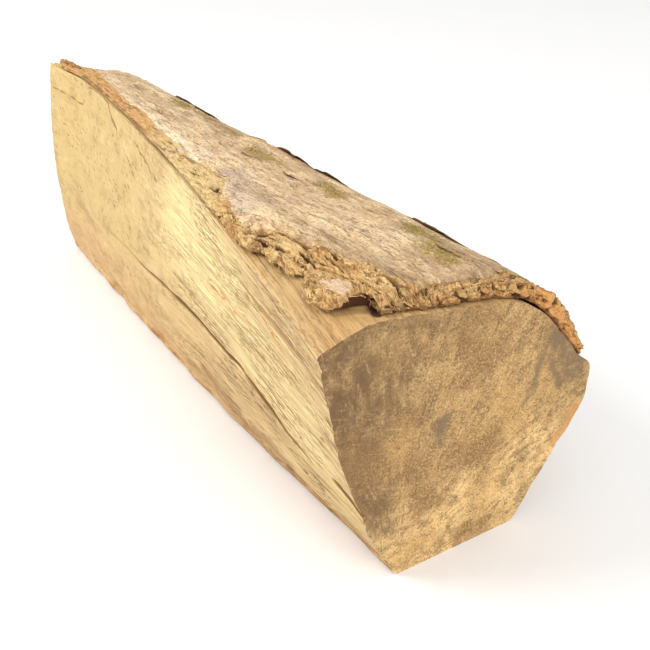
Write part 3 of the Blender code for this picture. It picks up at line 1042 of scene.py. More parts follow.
def inner_top(x, angle):
    """(radius, sunk, remnant) of the inner bark's upper side; sunk is its painted shade, and remnant is 1
    where some skin is left.
    """
    inner, outer = bark_radii(x, angle)
    arc = angle * TRUNK_RADIUS
    shown = ease(skin_edge(x) - math.radians(2.5), skin_edge(x) - math.radians(0.5), angle)
    thick = (outer - inner) * blend(INNER_SHARE, SHOWN_SHARE, shown)
    degrees = math.degrees(angle)
    height = read_curve(RELIEF_HEIGHT, x)
    turn = STRAND_TURN * ease(0.085, 0.150, x)
    bundle, fine, flake, border = strands(x, arc, turn)
    pad = oval(x, degrees, PAD_PLACE, PAD_HALF_LENGTH, PAD_HALF_SPAN)
    patch = oval(x, degrees, SKIN_REMNANT_PLACE, 0.0088, 2.5)
    remnant = ease(0.42, 0.50, patch + 0.22 * noise.noise(Vector((x * 260.0, arc * 260.0, 39.0))))
    rise = 0.22 * bundle + 0.38 * fine + 0.40 * flake
    crumble = 0.5 * ridged(x * 330.0, arc * 400.0, 36.0) + 0.5 * ridged(x * 560.0, arc * 700.0, 46.0)
    rim = ease(math.radians(2.4), math.radians(0.3), inner_edge(x) - angle) * ease(0.085, 0.110, x)
    crumbly = max(0.70 * rim, ease(0.25, 0.60, pad))
    rise = blend(rise, 0.50 * crumble + 0.20 * fine + 0.30 * flake, crumbly)
    rise = blend(rise, 0.66, 0.80 * remnant)
    depth = hollow_at(x, degrees)
    thick += shown * (height * (rise - 0.62) + PAD_HEIGHT * pad - depth)
    edge = inner_edge(x)
    taper = ease(edge + math.radians(0.1), edge - EDGE_TAPER, angle)
    low_edge = bark_edges(x)[0]
    taper = min(taper, ease(low_edge - math.radians(0.6), low_edge + LOW_TAPER, angle))
    thick = max(blend(min(EDGE_THICKNESS, thick), thick, taper), 0.0006)
    # Painted shade: in the clefts between strands, in the hollows, in a line just under the skin's torn
    # edge, and along the torn edge by the ridge.
    cleft = max(ease(0.46, 0.10, rise), 0.85 * border * ease(0.75, 0.35, rise))
    under_skin = 0.8 * hump(angle, skin_edge(x) + math.radians(0.20), math.radians(0.50))
    under_skin *= ease(-0.30, 0.25, rag(x, 26.0))
    by_ridge = ease(edge - math.radians(1.0), edge - math.radians(0.2), angle) * ease(0.02, -0.03, x)
    shade = max(0.95 * under_skin, 0.8 * by_ridge * ease(-0.50, 0.10, rag(x, 27.0)))
    sunk = min(1.0, shown * max(shade, cleft * ease(0.0002, 0.0020, height) + ease(0.0, 0.002, depth)))
    return inner + inner_lift(x, angle) + thick, sunk * (1.0 - remnant), remnant


def bark_hold(x, angle):
    """How much closer than elsewhere the bark lies to the wood: low on the +Y side it never came loose."""
    low = 0.8 * ease(math.radians(70.0), math.radians(66.0), angle)
    low += 0.2 * ease(math.radians(48.0), math.radians(43.0), angle)
    return 0.0013 * low * ease(0.150, 0.190, x)


def torn_far_end(x, angle):
    """The bark's far end is torn back from the sawn end beside the ridge."""
    by_ridge = ease(math.radians(68.0), math.radians(84.0), angle)
    ragged = 0.75 + 0.8 * abs(noise.noise(Vector((angle * 22.0, 0.0, 37.0))))
    return x + FAR_SETBACK * by_ridge * ragged * (1.0 - ease(bark_far, bark_far + 0.045, x))


def end_rag(x, angle, side):
    """How far short of the saw cut the near end of a layer of bark is broken off."""
    torn = 0.5 + 0.9 * noise.noise(Vector((angle * 60.0, side * 0.7, 38.0)))
    room = 0.0012 + 0.0034 * ease(math.radians(48.0), math.radians(64.0), angle)
    return (0.0010 * max(torn, 0.0) + room) * ease(bark_near - 0.014, bark_near, x)


def layered_sheet(along_steps, across_steps, place_of, layers):
    """A closed sheet. place_of(u, v, side) gives a point, and its named layers' values, on the underside
    (side 0) or the upper side (side 1), u running along the log and v across it."""
    mesh = bmesh.new()
    grown = [mesh.verts.layers.float.new(layer) for layer in layers]
    grain = mesh.verts.layers.float_vector.new("grain")
    bmesh.ops.create_grid(mesh, x_segments=along_steps, y_segments=across_steps, size=1.0)
    raised = bmesh.ops.extrude_face_region(mesh, geom=mesh.faces[:], use_keep_orig=True)["geom"]
    upper = {item for item in raised if isinstance(item, bmesh.types.BMVert)}
    for vertex in mesh.verts:
        side = 1 if vertex in upper else 0
        u, v = (vertex.co.x + 1.0) / 2.0, (vertex.co.y + 1.0) / 2.0
        vertex.co, vertex[grain], values = place_of(u, v, side)
        for layer, value in zip(grown, values):
            vertex[layer] = value
    bmesh.ops.recalc_face_normals(mesh, faces=mesh.faces)
    return mesh


inner_places = [bark_far]
while inner_places[-1] < bark_near:
    step = [step for start, step in INNER_STEPS if start <= inner_places[-1] + 0.01][-1]
    inner_places.append(min(inner_places[-1] + step, bark_near))
inner_rows = INNER_ROWS_UNDER_SKIN + INNER_ROWS_SHOWN


def inner_place(u, v, side):
    x = inner_places[round(u * (len(inner_places) - 1))]
    low, high = bark_edges(x)[0], inner_edge(x)
    low += math.radians(1.2 * rag(x, 23.0))
    row = v * inner_rows
    shown = max(skin_edge(x) - SHOWN_START, high - INNER_SHOWN_SPAN)
    if row < INNER_ROWS_UNDER_SKIN:
        angle = blend(low, shown, row / INNER_ROWS_UNDER_SKIN)
    else:
        angle = blend(shown, high, (row - INNER_ROWS_UNDER_SKIN) / INNER_ROWS_SHOWN)
    top, sunk, remnant = inner_top(x, angle)
    radius = top if side else bark_radii(x, angle)[0] + inner_lift(x, angle) - bark_hold(x, angle)
    # Painted shade on the underside, darkest under the arch.
    if not side:
        sunk, remnant = 0.6 + 0.4 * ease(0.05, 0.4, hump(x, ARCH_PLACE, 1.3 * ARCH_HALF_LENGTH)), 0.0
    x = torn_far_end(x, angle) - end_rag(x, angle, side)
    return about_pith(x, angle, radius), (x, angle * TRUNK_RADIUS, 0.0), (sunk, remnant)


BAST_GOLD = (0.740, 0.490, 0.205)
BAST_PEACH = (0.800, 0.440, 0.160)
BAST_ORANGE = (0.580, 0.310, 0.105)
BAST_BROWN = (0.270, 0.130, 0.045)
BAST_SHADE = (0.075, 0.028, 0.014)
BAST_STRAW = (0.900, 0.680, 0.330)
END_ORANGE = (0.860, 0.430, 0.145)
SKIN_PINK = (0.900, 0.640, 0.420)
SKIN_DUSKY = (0.680, 0.470, 0.300)


def bast_finish():
    """Torn inner bark: golden to orange-brown, fibrous and granular, with painted shade, dark brown, in its
    hollows.
    """
    material, tree, shader = new_finish("torn_bark")
    grain = carried(tree, "grain", "Vector")
    sunk = carried(tree, "sunk")
    remnant = carried(tree, "remnant")
    place = place_in(tree)
    along, arc = part(grain, "X"), part(grain, "Y")
    cloud = noisy(grain, (28.0, 60.0, 1.0), 11.0, 3.0)
    colour = tint(fade(cloud, 0.40, 0.64), BAST_GOLD, BAST_ORANGE)
    colour = tint(fade(along, 0.02, -0.06, 0.0, 0.80), colour, BAST_PEACH)
    pale_part = fade(along, -0.045, -0.010) * fade(along, 0.085, 0.055)
    colour = tint(pale_part * 0.75, colour, BAST_STRAW)
    rough_part = fade(along, 0.060, 0.105, 0.55, 1.0)
    grainy = noisy(place, (900.0, 900.0, 900.0), 12.0, 3.0, 0.65)
    tangled = shaken(grain, 170.0, 0.005)
    strand = noisy(tangled, (110.0, 420.0, 1.0), 16.0, 6.0, 0.74, turn=-STRAND_TURN)
    strawy = fade(along, -0.110, -0.030, 0.30, 1.0)
    colour = tint(fade(strand, 0.47, 0.37, 0.0, 0.90) * strawy, colour, BAST_STRAW)
    colour = tint(fade(strand, 0.51, 0.61, 0.0, 0.85) * rough_part, colour, BAST_BROWN)
    fibre = noisy(tangled, (150.0, 1100.0, 1.0), 13.0, 5.0, 0.72, turn=-STRAND_TURN)
    colour = tint(fade(fibre, 0.52, 0.62, 0.0, 0.70) * rough_part, colour, BAST_BROWN)
    colour = tint(fade(fibre, 0.48, 0.38, 0.0, 0.70) * strawy, colour, BAST_STRAW)
    low_down = fade(arc, math.radians(68.0) * TRUNK_RADIUS, math.radians(56.0) * TRUNK_RADIUS, 0.20, 0.80)
    colour = tint(fade(along, 0.186, 0.197) * low_down, colour, END_ORANGE)
    colour = tint(fade(grainy, 0.54, 0.68, 0.0, 0.45), colour, BAST_BROWN)
    # Painted shade where sunk is high: in clefts, hollows and pits, on undersides and under the skin's
    # edge; some loose fibres and crumbs are only darker in tone.
    colour = tint(fade(sunk, 0.14, 0.62, 0.0, 0.85) * rough_part, colour, BAST_BROWN)
    colour = tint(fade(sunk, 0.55, 1.00, 0.0, 0.95), colour, BAST_SHADE)
    pink = tint(fade(grainy, 0.40, 0.62), SKIN_PINK, SKIN_DUSKY)
    colour = tint(fade(remnant, 0.35, 0.60), colour, pink)
    shade = fade(along, 0.12, 0.19, 1.0, 1.06)
    colour = tint(1.0, colour, grey(shade), "MULTIPLY")
    height = fibre + (strand + grainy * 0.6)
    finish_with(shader, colour, fade(grainy, 0.3, 0.7, 0.80, 0.92), height, 0.0010)
    return material


bast = bast_finish()
inner_mesh = layered_sheet(len(inner_places) - 1, inner_rows, inner_place, ("sunk", "remnant"))
new_piece("bark_inner", inner_mesh, "torn_bark", [bast], "bark")

# ---- The outer skin of the bark ----
# A thin, tough, grey-pink crust over the inner bark, in one sheet from the bark's low edge to a ragged
# edge near the ridge. It is wrinkled along the trunk, scales off in places, and greens towards the
# trunk's weather side.
SKIN_ALONG = 290
SKIN_ACROSS = 132
SKIN_UNDER_SHARE = 0.54
SKIN_EDGE_THICKNESS = 0.0007
SKIN_EDGE_TAPER = math.radians(1.3)


def scale_step(x, arc):
    """How far the skin is worn down where a thin scale has come off: flat-bottomed, with a crisp border."""
    patch = noise.noise(Vector((x * 16.0, arc * 48.0, 41.0)))
    patch += 0.35 * noise.noise(Vector((x * 70.0, arc * 150.0, 42.0)))
    return 0.00050 * ease(0.14, 0.19, patch)


def skin_relief(x, arc):
    """How far the skin's face lies in from the bark's outer surface."""
    depth = 0.00055 * (1.0 + grain_noise(x, arc, 13.0, 26.0, 43.0))
    wrinkle = abs(grain_noise(x, arc, 16.0, 110.0, 44.0))
    depth += 0.00040 * (1.0 - ease(0.0, 0.28, wrinkle))
    depth += 0.00026 * (1.0 + grain_noise(x, arc, 90.0, 260.0, 45.0))
    return depth + scale_step(x, arc)


def skin_place(u, v, side):
    x = blend(bark_far + 0.0004, bark_near - 0.0002, u)
    low = bark_edges(x)[0] - math.radians(0.4 + 1.4 * rag(x, 24.0))
    high = skin_edge(x)
    angle = blend(low, high, v)
    inner, outer = bark_radii(x, angle)
    taper = min(
        ease(high + math.radians(0.1), high - SKIN_EDGE_TAPER, angle),
        ease(low - 0.001, low + LOW_TAPER, angle),
    )
    under = blend(inner, outer, SKIN_UNDER_SHARE)
    relief = skin_relief(x, angle * TRUNK_RADIUS)
    top = max(outer - relief, under + 0.0008)
    lip = 0.0010 * ease(0.2, 0.9, rag(x, 25.0)) * ease(high - math.radians(3.0), high, angle)
    near_flap = 0.0008 * ease(0.150, 0.185, x) * ease(high - math.radians(4.0), high, angle)
    radius = blend(under + SKIN_EDGE_THICKNESS, top, taper) if side else under
    radius += lip + near_flap
    # Painted shade where the skin's face lies deep.
    sunk = ease(0.0006, 0.0017, relief)
    radius -= bark_hold(x, angle)
    x = torn_far_end(x, angle) - end_rag(x, angle, 2 + side)
    place = about_pith(x, angle, radius)
    return place, (x, angle * TRUNK_RADIUS, 0.0), (float(side), sunk, blend(1.0, 0.0, taper))


def bark_surface(x, angle):
    """The radius of the bark's upper side: the skin where there is skin, or else the inner bark."""
    if angle < skin_edge(x):
        return bark_radii(x, angle)[1] - skin_relief(x, angle * TRUNK_RADIUS)
    return inner_top(x, angle)[0]


def arc_at(degrees):
    """Distance round the trunk at an angle about the pith, for placing a mark on the skin."""
    return math.radians(degrees) * TRUNK_RADIUS


SKIN_BEIGE = (0.830, 0.590, 0.335)
SKIN_SAND = (0.900, 0.650, 0.365)
SKIN_MAUVE = (0.600, 0.405, 0.250)
SKIN_GREY = (0.560, 0.420, 0.300)
SKIN_BROWN = (0.370, 0.220, 0.100)
SKIN_WHITE = (0.940, 0.790, 0.540)
SKIN_DARK = (0.140, 0.080, 0.040)
SKIN_OLIVE = (0.370, 0.245, 0.078)
MOSS_GREEN = (0.360, 0.270, 0.038)
SKIN_RUST = (0.620, 0.280, 0.100)
# Green spots on the skin: (distance along the log, degrees about the pith).
GREEN_SPOTS = [(-0.075, 65.0), (-0.040, 67.0), (0.016, 72.0), (0.074, 69.5), (0.141, 68.0), (0.166, 71.0)]


def skin_finish():
    """The skin: beige and pinkish grey streaks, a pale patch, green and rusty spots, fine dark lines."""
    material, tree, shader = new_finish("bark_skin")
    grain = carried(tree, "grain", "Vector")
    upper = carried(tree, "upper")
    sunk = carried(tree, "sunk")
    along, arc = part(grain, "X"), part(grain, "Y")
    drift = shaken(grain, 40.0, 0.016)
    ragged = shaken(drift, 230.0, 0.005)

    wander = shaken(grain, 90.0, 0.006)
    streak = noisy(wander, (16.0, 62.0, 1.0), 21.0, 6.0, 0.66)
    mottle = noisy(wander, (62.0, 120.0, 1.0), 22.0, 6.0, 0.72)
    colour = tint(fade(streak, 0.40, 0.58), SKIN_BEIGE, SKIN_SAND)
    colour = tint(fade(mottle, 0.50, 0.59, 0.0, 0.85), colour, SKIN_MAUVE)
    dusk = noisy(wander, (24.0, 52.0, 1.0), 23.0, 6.0, 0.72)
    colour = tint(fade(dusk, 0.52, 0.62, 0.0, 0.58), colour, SKIN_BROWN)
    cream = noisy(wander, (38.0, 90.0, 1.0), 28.0, 6.0, 0.72)
    colour = tint(fade(cream, 0.54, 0.66, 0.0, 0.75), colour, SKIN_WHITE)

    # The +Y shoulder is darker and greener, and so is the stretch next to the near end.
    shoulder = fade(arc + streak * 0.03, arc_at(80.0), arc_at(62.0), 0.0, 0.48)
    colour = tint(shoulder * fade(mottle, 0.36, 0.60, 0.3, 1.0), colour, SKIN_OLIVE)
    by_end = fade(along, 0.135, 0.190, 0.0, 0.82) * fade(dusk, 0.36, 0.58, 0.3, 1.0)
    colour = tint(by_end, colour, SKIN_BROWN)
    pale = beside(ragged, [(-0.125, arc_at(83.0)), (-0.070, arc_at(86.0))], 0.0010, 0.0045)
    pale = largest(pale, beside(ragged, [(-0.065, arc_at(86.5)), (0.014, arc_at(87.5))], 0.0040, 0.0100))
    pale *= fade(mottle, 0.62, 0.44, 0.35, 0.95)
    colour = tint(pale, colour, SKIN_WHITE)
    greyed = beside(ragged, [(0.044, arc_at(86.0)), (0.086, arc_at(91.0))], 0.0040, 0.0150)
    greyed *= fade(mottle, 0.40, 0.58, 0.45, 0.85)
    colour = tint(greyed, colour, SKIN_GREY)
    mossy = noisy(grain, (240.0, 380.0, 1.0), 27.0, 3.0, 0.7)
    green = beside(ragged, [(-0.112, arc_at(67.5)), (-0.092, arc_at(69.0))], 0.003, 0.011)
    for spot_x, degrees in GREEN_SPOTS:
        ends = [(spot_x - 0.008, arc_at(degrees)), (spot_x + 0.010, arc_at(degrees + 0.8))]
        green = largest(green, beside(ragged, ends, 0.0020, 0.0095))
    colour = tint(green * 0.94, colour, SKIN_OLIVE)
    colour = tint(green * fade(mossy, 0.48, 0.58, 0.0, 0.9), colour, MOSS_GREEN)
    rust = beside(ragged, [(0.004, arc_at(60.0)), (0.014, arc_at(60.5))], 0.001, 0.006)
    rust = largest(rust, beside(ragged, [(0.108, arc_at(69.0)), (0.120, arc_at(68.0))], 0.001, 0.005))
    rust = largest(rust, beside(ragged, [(-0.014, arc_at(64.5)), (0.030, arc_at(64.0))], 0.001, 0.006))
    colour = tint(rust * 0.75, colour, SKIN_RUST)

    # Fine lines along the trunk, a granular crust, and painted shade, brown, where the skin's face lies
    # deepest: in its wrinkles and where scales have come off.
    line = noisy(wander, (70.0, 420.0, 1.0), 24.0, 4.0, 0.65)
    crust = noisy(grain, (480.0, 750.0, 1.0), 25.0, 4.0, 0.75)
    colour = tint(fade(line, 0.53, 0.63, 0.0, 0.60), colour, SKIN_DARK)
    colour = tint(fade(line, 0.45, 0.34, 0.0, 0.45), colour, SKIN_WHITE)
    colour = tint(fade(crust, 0.52, 0.64, 0.0, 0.70), colour, SKIN_DARK)
    colour = tint(fade(crust, 0.45, 0.35, 0.0, 0.55), colour, SKIN_WHITE)
    split = noisy(wander, (26.0, 150.0, 1.0), 26.0, 3.0)
    crack = fade(abs(split - 0.57), 0.009, 0.0) * fade(dusk, 0.46, 0.58)
    colour = tint(crack * 0.75, colour, SKIN_DARK)
    # Painted shade where the skin lies deep.
    colour = tint(sunk * 0.35, colour, SKIN_BROWN)
    rim = carried(tree, "edge")
    colour = tint(fade(rim, 0.45, 1.0, 0.0, 0.85), colour, SKIN_DARK)

    # The crust is thin: its edge and underside show the brown layer beneath.
    place = place_in(tree)
    grainy = noisy(place, (900.0, 900.0, 900.0), 12.0, 3.0, 0.65)
    beneath = tint(fade(grainy, 0.40, 0.62), BAST_ORANGE, BAST_BROWN)
    colour = tint(fade(upper, 0.97, 0.80), colour, beneath)

    height = line * 0.6 + (crust + crack * -0.8)
    finish_with(shader, colour, fade(crust, 0.3, 0.7, 0.70, 0.85), height, 0.00075)
    return material


skin = skin_finish()
skin_mesh = layered_sheet(SKIN_ALONG, SKIN_ACROSS, skin_place, ("upper", "sunk", "edge"))
new_piece("bark_skin", skin_mesh, "bark", [skin], "bark")

# ---- The bark's near end ----
# Where the saw went through the bark it broke it rather than cut it: the end is a rough, crumbling face of
# brown granules, and for a few millimetres back from it the skin is gone as well.
END_LOW = math.radians(38.0)
END_HIGH = math.radians(93.0)
END_ALONG = 360
END_ACROSS = 44
END_FACE_SHARE = 0.58
END_BACK = 0.0085
END_CRUST = 0.0012
END_HOLE = (63.6, 0.1405)
END_GRAIN = 4.0


def end_granules(x, angle, radius):
    """(depth, darkness) of the hollows eaten into the broken end at a place; the darkness is painted shade,
    in the pits and between the granules.
    """
    arc = angle * TRUNK_RADIUS
    arc += 0.0016 * noise.noise(Vector((radius * 260.0 + x * 260.0, angle * 30.0, 70.0)))
    down = radius + x + 0.0016 * noise.noise(Vector((arc * 260.0, radius * 90.0, 74.0)))
    grains = ridged(arc * 250.0, down * 300.0, 71.0)
    fine = ridged(arc * 620.0, down * 620.0, 72.0)
    layer = ridged(arc * 70.0, down * 620.0, 77.0)
    pit = ease(0.16, 0.30, noise.noise(Vector((arc * 210.0, down * 420.0, 73.0))))
    dark = max(pit, 0.8 * ease(0.50, 0.10, 0.4 * grains + 0.3 * fine + 0.3 * layer))
    worn = 0.0008 * (1.0 - grains) + 0.0007 * (1.0 - fine) + 0.0009 * (1.0 - layer)
    return worn + 0.0011 * pit, dark


def end_place(u, v, side):
    angle = blend(END_LOW, END_HIGH, u)
    x = bark_near - 0.0003
    inner = bark_radii(x, angle)[0] - bark_hold(x, angle) + inner_lift(x, angle) + 0.0002
    back = END_BACK * ease(math.radians(44.0), math.radians(72.0), angle) + 0.002
    ragged = 1.0 + 0.6 * noise.noise(Vector((angle * 26.0, 0.0, 75.0)))
    ragged += 0.3 * noise.noise(Vector((angle * 90.0, 0.0, 76.0)))
    back *= ragged
    if v < END_FACE_SHARE:
        share = v / END_FACE_SHARE
        outer = min(bark_surface(x, angle), bark_radii(x, angle)[1]) - 0.0004
        radius = blend(inner, outer, share)
        x -= 0.0016 * ease(0.7, 1.0, share)
        eaten, pit = end_granules(x, angle, radius)
        hole = hump(math.degrees(angle), END_HOLE[0], 1.0) * hump(radius, END_HOLE[1], 0.0016)
        eaten += 0.0045 * ease(0.3, 0.6, hole)
        pit = max(pit, ease(0.25, 0.5, hole))
        x -= eaten + (END_CRUST if not side else 0.0)
        radius -= 0.0 if side else 0.0003 * share
    else:
        share = (v - END_FACE_SHARE) / (1.0 - END_FACE_SHARE)
        x -= 0.0016 + back * share
        radius = min(bark_surface(x, angle), bark_radii(x, angle)[1]) - 0.0004 + 0.0006 * (1.0 - share)
        eaten, pit = end_granules(x, angle, radius)
        eaten *= 0.8 * ease(1.0, 0.6, share)
        radius -= eaten + 0.0006 * share + (END_CRUST if not side else 0.0)
        x -= 0.0 if side else 0.0003
    # Painted shade: the broken end is darker in its pits and its hole, and next to the wood.
    by_wood = ease(0.0022, 0.0002, radius - inner) if v < END_FACE_SHARE else 0.0
    along = x + END_GRAIN * (radius - inner if v < END_FACE_SHARE else x - bark_near)
    sunk = max(0.06 + 0.80 * pit, 0.62 * by_wood)
    return about_pith(x, angle, radius), (along, angle * TRUNK_RADIUS, 0.0), (sunk, 0.0)


end_mesh = layered_sheet(END_ALONG, END_ACROSS, end_place, ("sunk", "remnant"))
new_piece("bark_end", end_mesh, "torn_bark", [bast])

# ---- Loose bast ----
# Fibres and crumbs of the inner bark that hang on where it was torn: along its edge above the bared
# wood, over the mat and along the broken edge of the skin. Each fibre is a thin tapering strand, each
# crumb a rough lump.
FIBRE_SIDES = 4
FIBRE_STEPS = 6
# (how many, from, to along the log, lowest and highest degrees below the torn edge, turn and its spread in
# degrees, shortest and longest).
FIBRE_BEDS = [
    (120, 0.100, 0.194, 0.0, 12.0, -2.0, 12.0, 0.003, 0.009),
    (110, 0.100, 0.197, -0.5, 1.2, -2.0, 40.0, 0.002, 0.006),
    (110, 0.048, 0.098, 0.0, 3.6, 60.0, 40.0, 0.0015, 0.0045),
    (30, -0.040, 0.050, 0.0, 3.0, 0.0, 30.0, 0.002, 0.005),
]
# (how many, from, to along the log, lowest and highest degrees below the torn edge).
CRUMB_BEDS = [
    (90, 0.163, 0.188, -0.6, 3.0),
    (70, 0.100, 0.150, -0.2, 2.4),
    (40, 0.186, 0.197, 0.0, 9.0),
    (30, 0.050, 0.100, 0.0, 2.5),
]
CRUMB_SIZE = (0.0003, 0.0007)
FIBRE_THICKNESS = (0.00008, 0.00020)
TURNED_BACK = 0.15
random.seed(4)


def add_fibre(mesh, sunk_layer, start_x, start_angle, turn, reach, thick, lift):
    """One strand laid on the bark from a place, its far tip lifted off."""
    grid = bmesh.ops.create_grid(mesh, x_segments=FIBRE_STEPS, y_segments=FIBRE_SIDES, size=1.0)["verts"]
    bend = random.uniform(-0.35, 0.35)
    centres = []
    for step in range(FIBRE_STEPS + 1):
        share = step / FIBRE_STEPS
        heading = turn + bend * share
        x = min(start_x + reach * share * math.cos(heading), bark_near - 0.0006)
        angle = start_angle + reach * share * math.sin(heading) / TRUNK_RADIUS
        radius = bark_surface(x, angle) + lift * share * share + 0.2 * thick
        centres.append(about_pith(x, angle, radius))
    ahead = (centres[-1] - centres[0]).normalized()
    aside = ahead.cross(Vector((0.0, 0.0, 1.0))).normalized()
    above = aside.cross(ahead)
    for vertex in grid:
        step = round((vertex.co.x + 1.0) / 2.0 * FIBRE_STEPS)
        around = (vertex.co.y + 1.0) / 2.0 * math.tau
        taper = thick * (math.sin(math.pi * (0.06 + 0.88 * step / FIBRE_STEPS)) ** 0.6)
        if step in (0, FIBRE_STEPS):
            taper = 0.0
        vertex.co = centres[step] + (aside * math.cos(around) * 1.4 + above * math.sin(around)) * taper
        vertex[sunk_layer] = random.choice((0.0, 0.0, 0.25))
    bmesh.ops.remove_doubles(mesh, verts=grid, dist=WELD / 100.0)


def add_crumb(mesh, sunk_layer, x, angle, size):
    verts = bmesh.ops.create_icosphere(mesh, subdivisions=1, radius=size)["verts"]
    middle = about_pith(x, angle, bark_surface(x, angle) + 0.3 * size)
    squeeze = Vector((random.uniform(1.2, 3.0), random.uniform(0.6, 1.1), random.uniform(0.4, 0.8)))
    shade = random.choice((0.0, 0.1, 0.4))
    for vertex in verts:
        rough = 1.0 + 0.5 * noise.noise(vertex.co * (1.6 / size) + middle * 300.0)
        vertex.co = middle + vertex.co * squeeze * rough
        vertex[sunk_layer] = shade


loose_mesh = bmesh.new()
loose_sunk = loose_mesh.verts.layers.float.new("sunk")
for count, low_x, high_x, low_back, high_back, turn, spread, shortest, longest in FIBRE_BEDS:
    for _ in range(count):
        x = random.uniform(low_x, high_x)
        angle = inner_edge(x) - math.radians(random.uniform(low_back, high_back))
        heading = math.radians(turn + random.uniform(-spread, spread))
        if random.random() < TURNED_BACK:
            heading += math.pi
        lift = random.choice((0.0, 0.0, 0.0004, 0.0010)) * random.uniform(0.5, 1.0)
        reach = random.uniform(shortest, longest)
        thick = random.uniform(*FIBRE_THICKNESS)
        add_fibre(loose_mesh, loose_sunk, x, angle, heading, reach, thick, lift)
for count, low_x, high_x, low_back, high_back in CRUMB_BEDS:
    for _ in range(count):
        x = random.uniform(low_x, high_x)
        angle = inner_edge(x) - math.radians(random.uniform(low_back, high_back))
        add_crumb(loose_mesh, loose_sunk, x, angle, random.uniform(*CRUMB_SIZE))
loose_grain = loose_mesh.verts.layers.float_vector.new("grain")
for vertex in loose_mesh.verts:
    vertex[loose_grain] = (vertex.co.x, math.atan2(vertex.co.z, vertex.co.y - pith_y) * TRUNK_RADIUS, 0.0)
bmesh.ops.recalc_face_normals(loose_mesh, faces=loose_mesh.faces)
new_piece("loose_bast", loose_mesh, "torn_bark", [bast])

# ---- Scales of the skin ----
# Thin plates of the outer skin that have come half loose as the log dried, mostly over the +Y shoulder.
# Each holds along one long side, and its free side has curled up and shows a dark edge.
SCALE_ALONG = 22
SCALE_ACROSS = 8
SCALE_THICKNESS = 0.0006
# (middle along the log, middle in degrees, length, width, lift of the free side, which side is free).
SCALES = [
    (-0.124, 62.0, 0.030, 0.009, 0.0013, 1),
    (-0.094, 61.5, 0.034, 0.009, 0.0015, 1),
    (-0.020, 66.0, 0.030, 0.008, 0.0010, -1),
    (0.008, 61.0, 0.040, 0.009, 0.0016, 1),
    (0.046, 60.5, 0.036, 0.009, 0.0013, 1),
    (0.016, 75.5, 0.012, 0.004, 0.0006, 1),
    (0.052, 73.0, 0.016, 0.005, 0.0007, 1),
    (0.134, 60.5, 0.046, 0.009, 0.0014, 1),
    (0.160, 60.5, 0.034, 0.009, 0.0010, -1),
    (0.166, 69.5, 0.018, 0.005, 0.0006, 1),
    (-0.150, 55.0, 0.030, 0.014, 0.0022, -1),
    (-0.050, 52.0, 0.046, 0.012, 0.0020, -1),
    (0.080, 54.0, 0.040, 0.015, 0.0024, -1),
    (0.140, 49.0, 0.030, 0.012, 0.0020, -1),
    (-0.120, 44.0, 0.040, 0.012, 0.0018, -1),
    (0.020, 44.5, 0.034, 0.014, 0.0022, -1),
]


def scale_place(scale):
    middle_x, middle_degrees, long, wide, lift, free = scale

    def place_of(u, v, side):
        waist = 0.10 + 0.90 * math.sin(math.pi * (0.02 + 0.96 * u)) ** 0.8
        ragged = 1.0 + 0.5 * noise.noise(Vector((u * 6.0, middle_x * 90.0, middle_degrees)))
        x = middle_x + (u - 0.5) * long + 0.003 * noise.noise(Vector((v * 3.0, middle_x * 90.0, 51.0)))
        across = free * (v - 0.35) * wide * waist * ragged
        angle = math.radians(middle_degrees) + across / TRUNK_RADIUS
        x = min(max(x, bark_far + 0.001), bark_near - 0.001)
        outer = bark_radii(x, angle)[1] - skin_relief(x, angle * TRUNK_RADIUS)
        up = lift * v * v * math.sin(math.pi * u) - 0.0004 * (1.0 - v)
        thick = SCALE_THICKNESS * min(1.0, 6.0 * min(u, 1.0 - u) + 0.15) * blend(1.0, 0.55, v)
        radius = outer + up + (thick if side else 0.0)
        border = max(v**3, 1.0 - 9.0 * min(u, 1.0 - u))
        place = about_pith(x, angle, radius)
        return place, (x, angle * TRUNK_RADIUS, 0.0), (1.0, 0.5 * v, border if side else 1.0)

    return place_of


scales_mesh = bmesh.new()
for scale in SCALES:
    plate = layered_sheet(SCALE_ALONG, SCALE_ACROSS, scale_place(scale), ("upper", "sunk", "edge"))
    plate_data = bpy.data.meshes.new("plate")
    plate.to_mesh(plate_data)
    plate.free()
    scales_mesh.from_mesh(plate_data)
    bpy.data.meshes.remove(plate_data)
new_piece("bark_scales", scales_mesh, "bark", [skin])

# ---- The curl at the far end ----
# A narrow strip of inner bark by the ridge that dried into a loose roll, just short of the far sawn end.
CURL_TURNS = 1.35
CURL_RADIUS = 0.0017
CURL_THICKNESS = 0.0008
CURL_LENGTH = 0.019
CURL_STEPS = (48, 40)


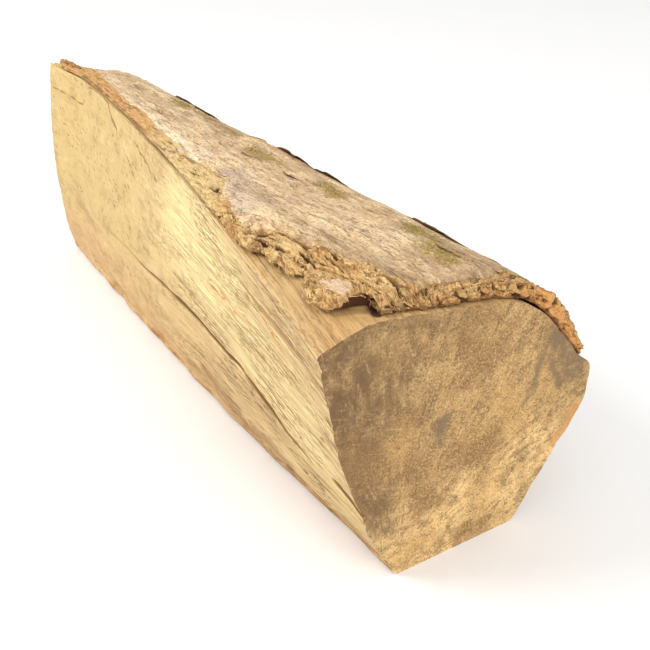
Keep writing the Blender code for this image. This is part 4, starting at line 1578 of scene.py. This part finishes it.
def curl_place(u, v, side):
    x = far_x + 0.005 + CURL_LENGTH * u + 0.0012 * noise.noise(Vector((v * 5.0, 0.0, 61.0)))
    angle = bark_edges(x)[1] - math.radians(1.2 + 0.8 * u)
    base = about_pith(x, angle, bark_radii(x, angle)[0] + 0.0012)
    turn = math.tau * CURL_TURNS * v * (0.85 + 0.25 * u) - 0.6
    radius = CURL_RADIUS * (1.0 - 0.35 * v) * (0.75 + 0.35 * math.sin(math.pi * u))
    radius += CURL_THICKNESS if side else 0.0
    radius += 0.0006 * noise.noise(Vector((x * 420.0, v * 9.0, 62.0)))
    middle = base + Vector((0.0, math.cos(angle), math.sin(angle))) * 0.0008
    roll = Vector((0.0, -math.cos(turn), math.sin(turn))) * radius
    # sunk: darker in streaks on the roll's outer faces, and painted shade on its inner faces, turned into
    # the roll.
    worn = 0.30 + 0.5 * ridged(x * 260.0, v * 6.0, 63.0)
    return middle + roll, (x, v * 0.02 + 0.2, 0.0), (worn if side else 0.7, 0.0)


curl_mesh = layered_sheet(*CURL_STEPS, curl_place, ("sunk", "remnant"))
new_piece("bark_curl", curl_mesh, "torn_bark", [bast])

# ---- Moss ----
# A few dry, yellow-green tufts of moss in the skin's hollows, each no more than a few millimetres across.
MOSS_SPOTS = [(-0.102, 68.0), (0.012, 71.5), (0.078, 69.8), (0.142, 68.4), (0.168, 71.2)]
MOSS_TUFTS = 60
MOSS_SPREAD = (0.0066, 1.6)
TUFT_SIZE = (0.0003, 0.0007)
MOSS_YELLOW = (0.380, 0.290, 0.050)
MOSS_SHADE = (0.180, 0.125, 0.026)


def moss_finish():
    """Dry moss: yellow-green, darker in patches."""
    material, tree, shader = new_finish("moss")
    place = place_in(tree)
    patch = noisy(place, (500.0, 500.0, 500.0), 14.0, 3.0, 0.7)
    colour = tint(fade(patch, 0.38, 0.62), MOSS_YELLOW, MOSS_SHADE)
    finish_with(shader, colour, fade(patch, 0.3, 0.7, 0.85, 0.95), patch, 0.0003)
    return material


moss_mesh = bmesh.new()
for spot_x, spot_degrees in MOSS_SPOTS:
    for _ in range(MOSS_TUFTS):
        x = random.gauss(spot_x, MOSS_SPREAD[0])
        angle = math.radians(random.gauss(spot_degrees, MOSS_SPREAD[1]))
        size = random.uniform(*TUFT_SIZE)
        tuft = bmesh.ops.create_cone(
            moss_mesh, cap_ends=True, segments=5, radius1=size, radius2=0.15 * size, depth=1.5 * size
        )["verts"]
        radius = bark_surface(x, angle) + 0.3 * size
        outward = Vector((random.uniform(-0.5, 0.5), math.cos(angle), math.sin(angle)))
        turned = outward.to_track_quat("Z", "X").to_matrix()
        for vertex in tuft:
            vertex.co = about_pith(x, angle, radius) + turned @ vertex.co
new_piece("moss", moss_mesh, "bark", [moss_finish()])
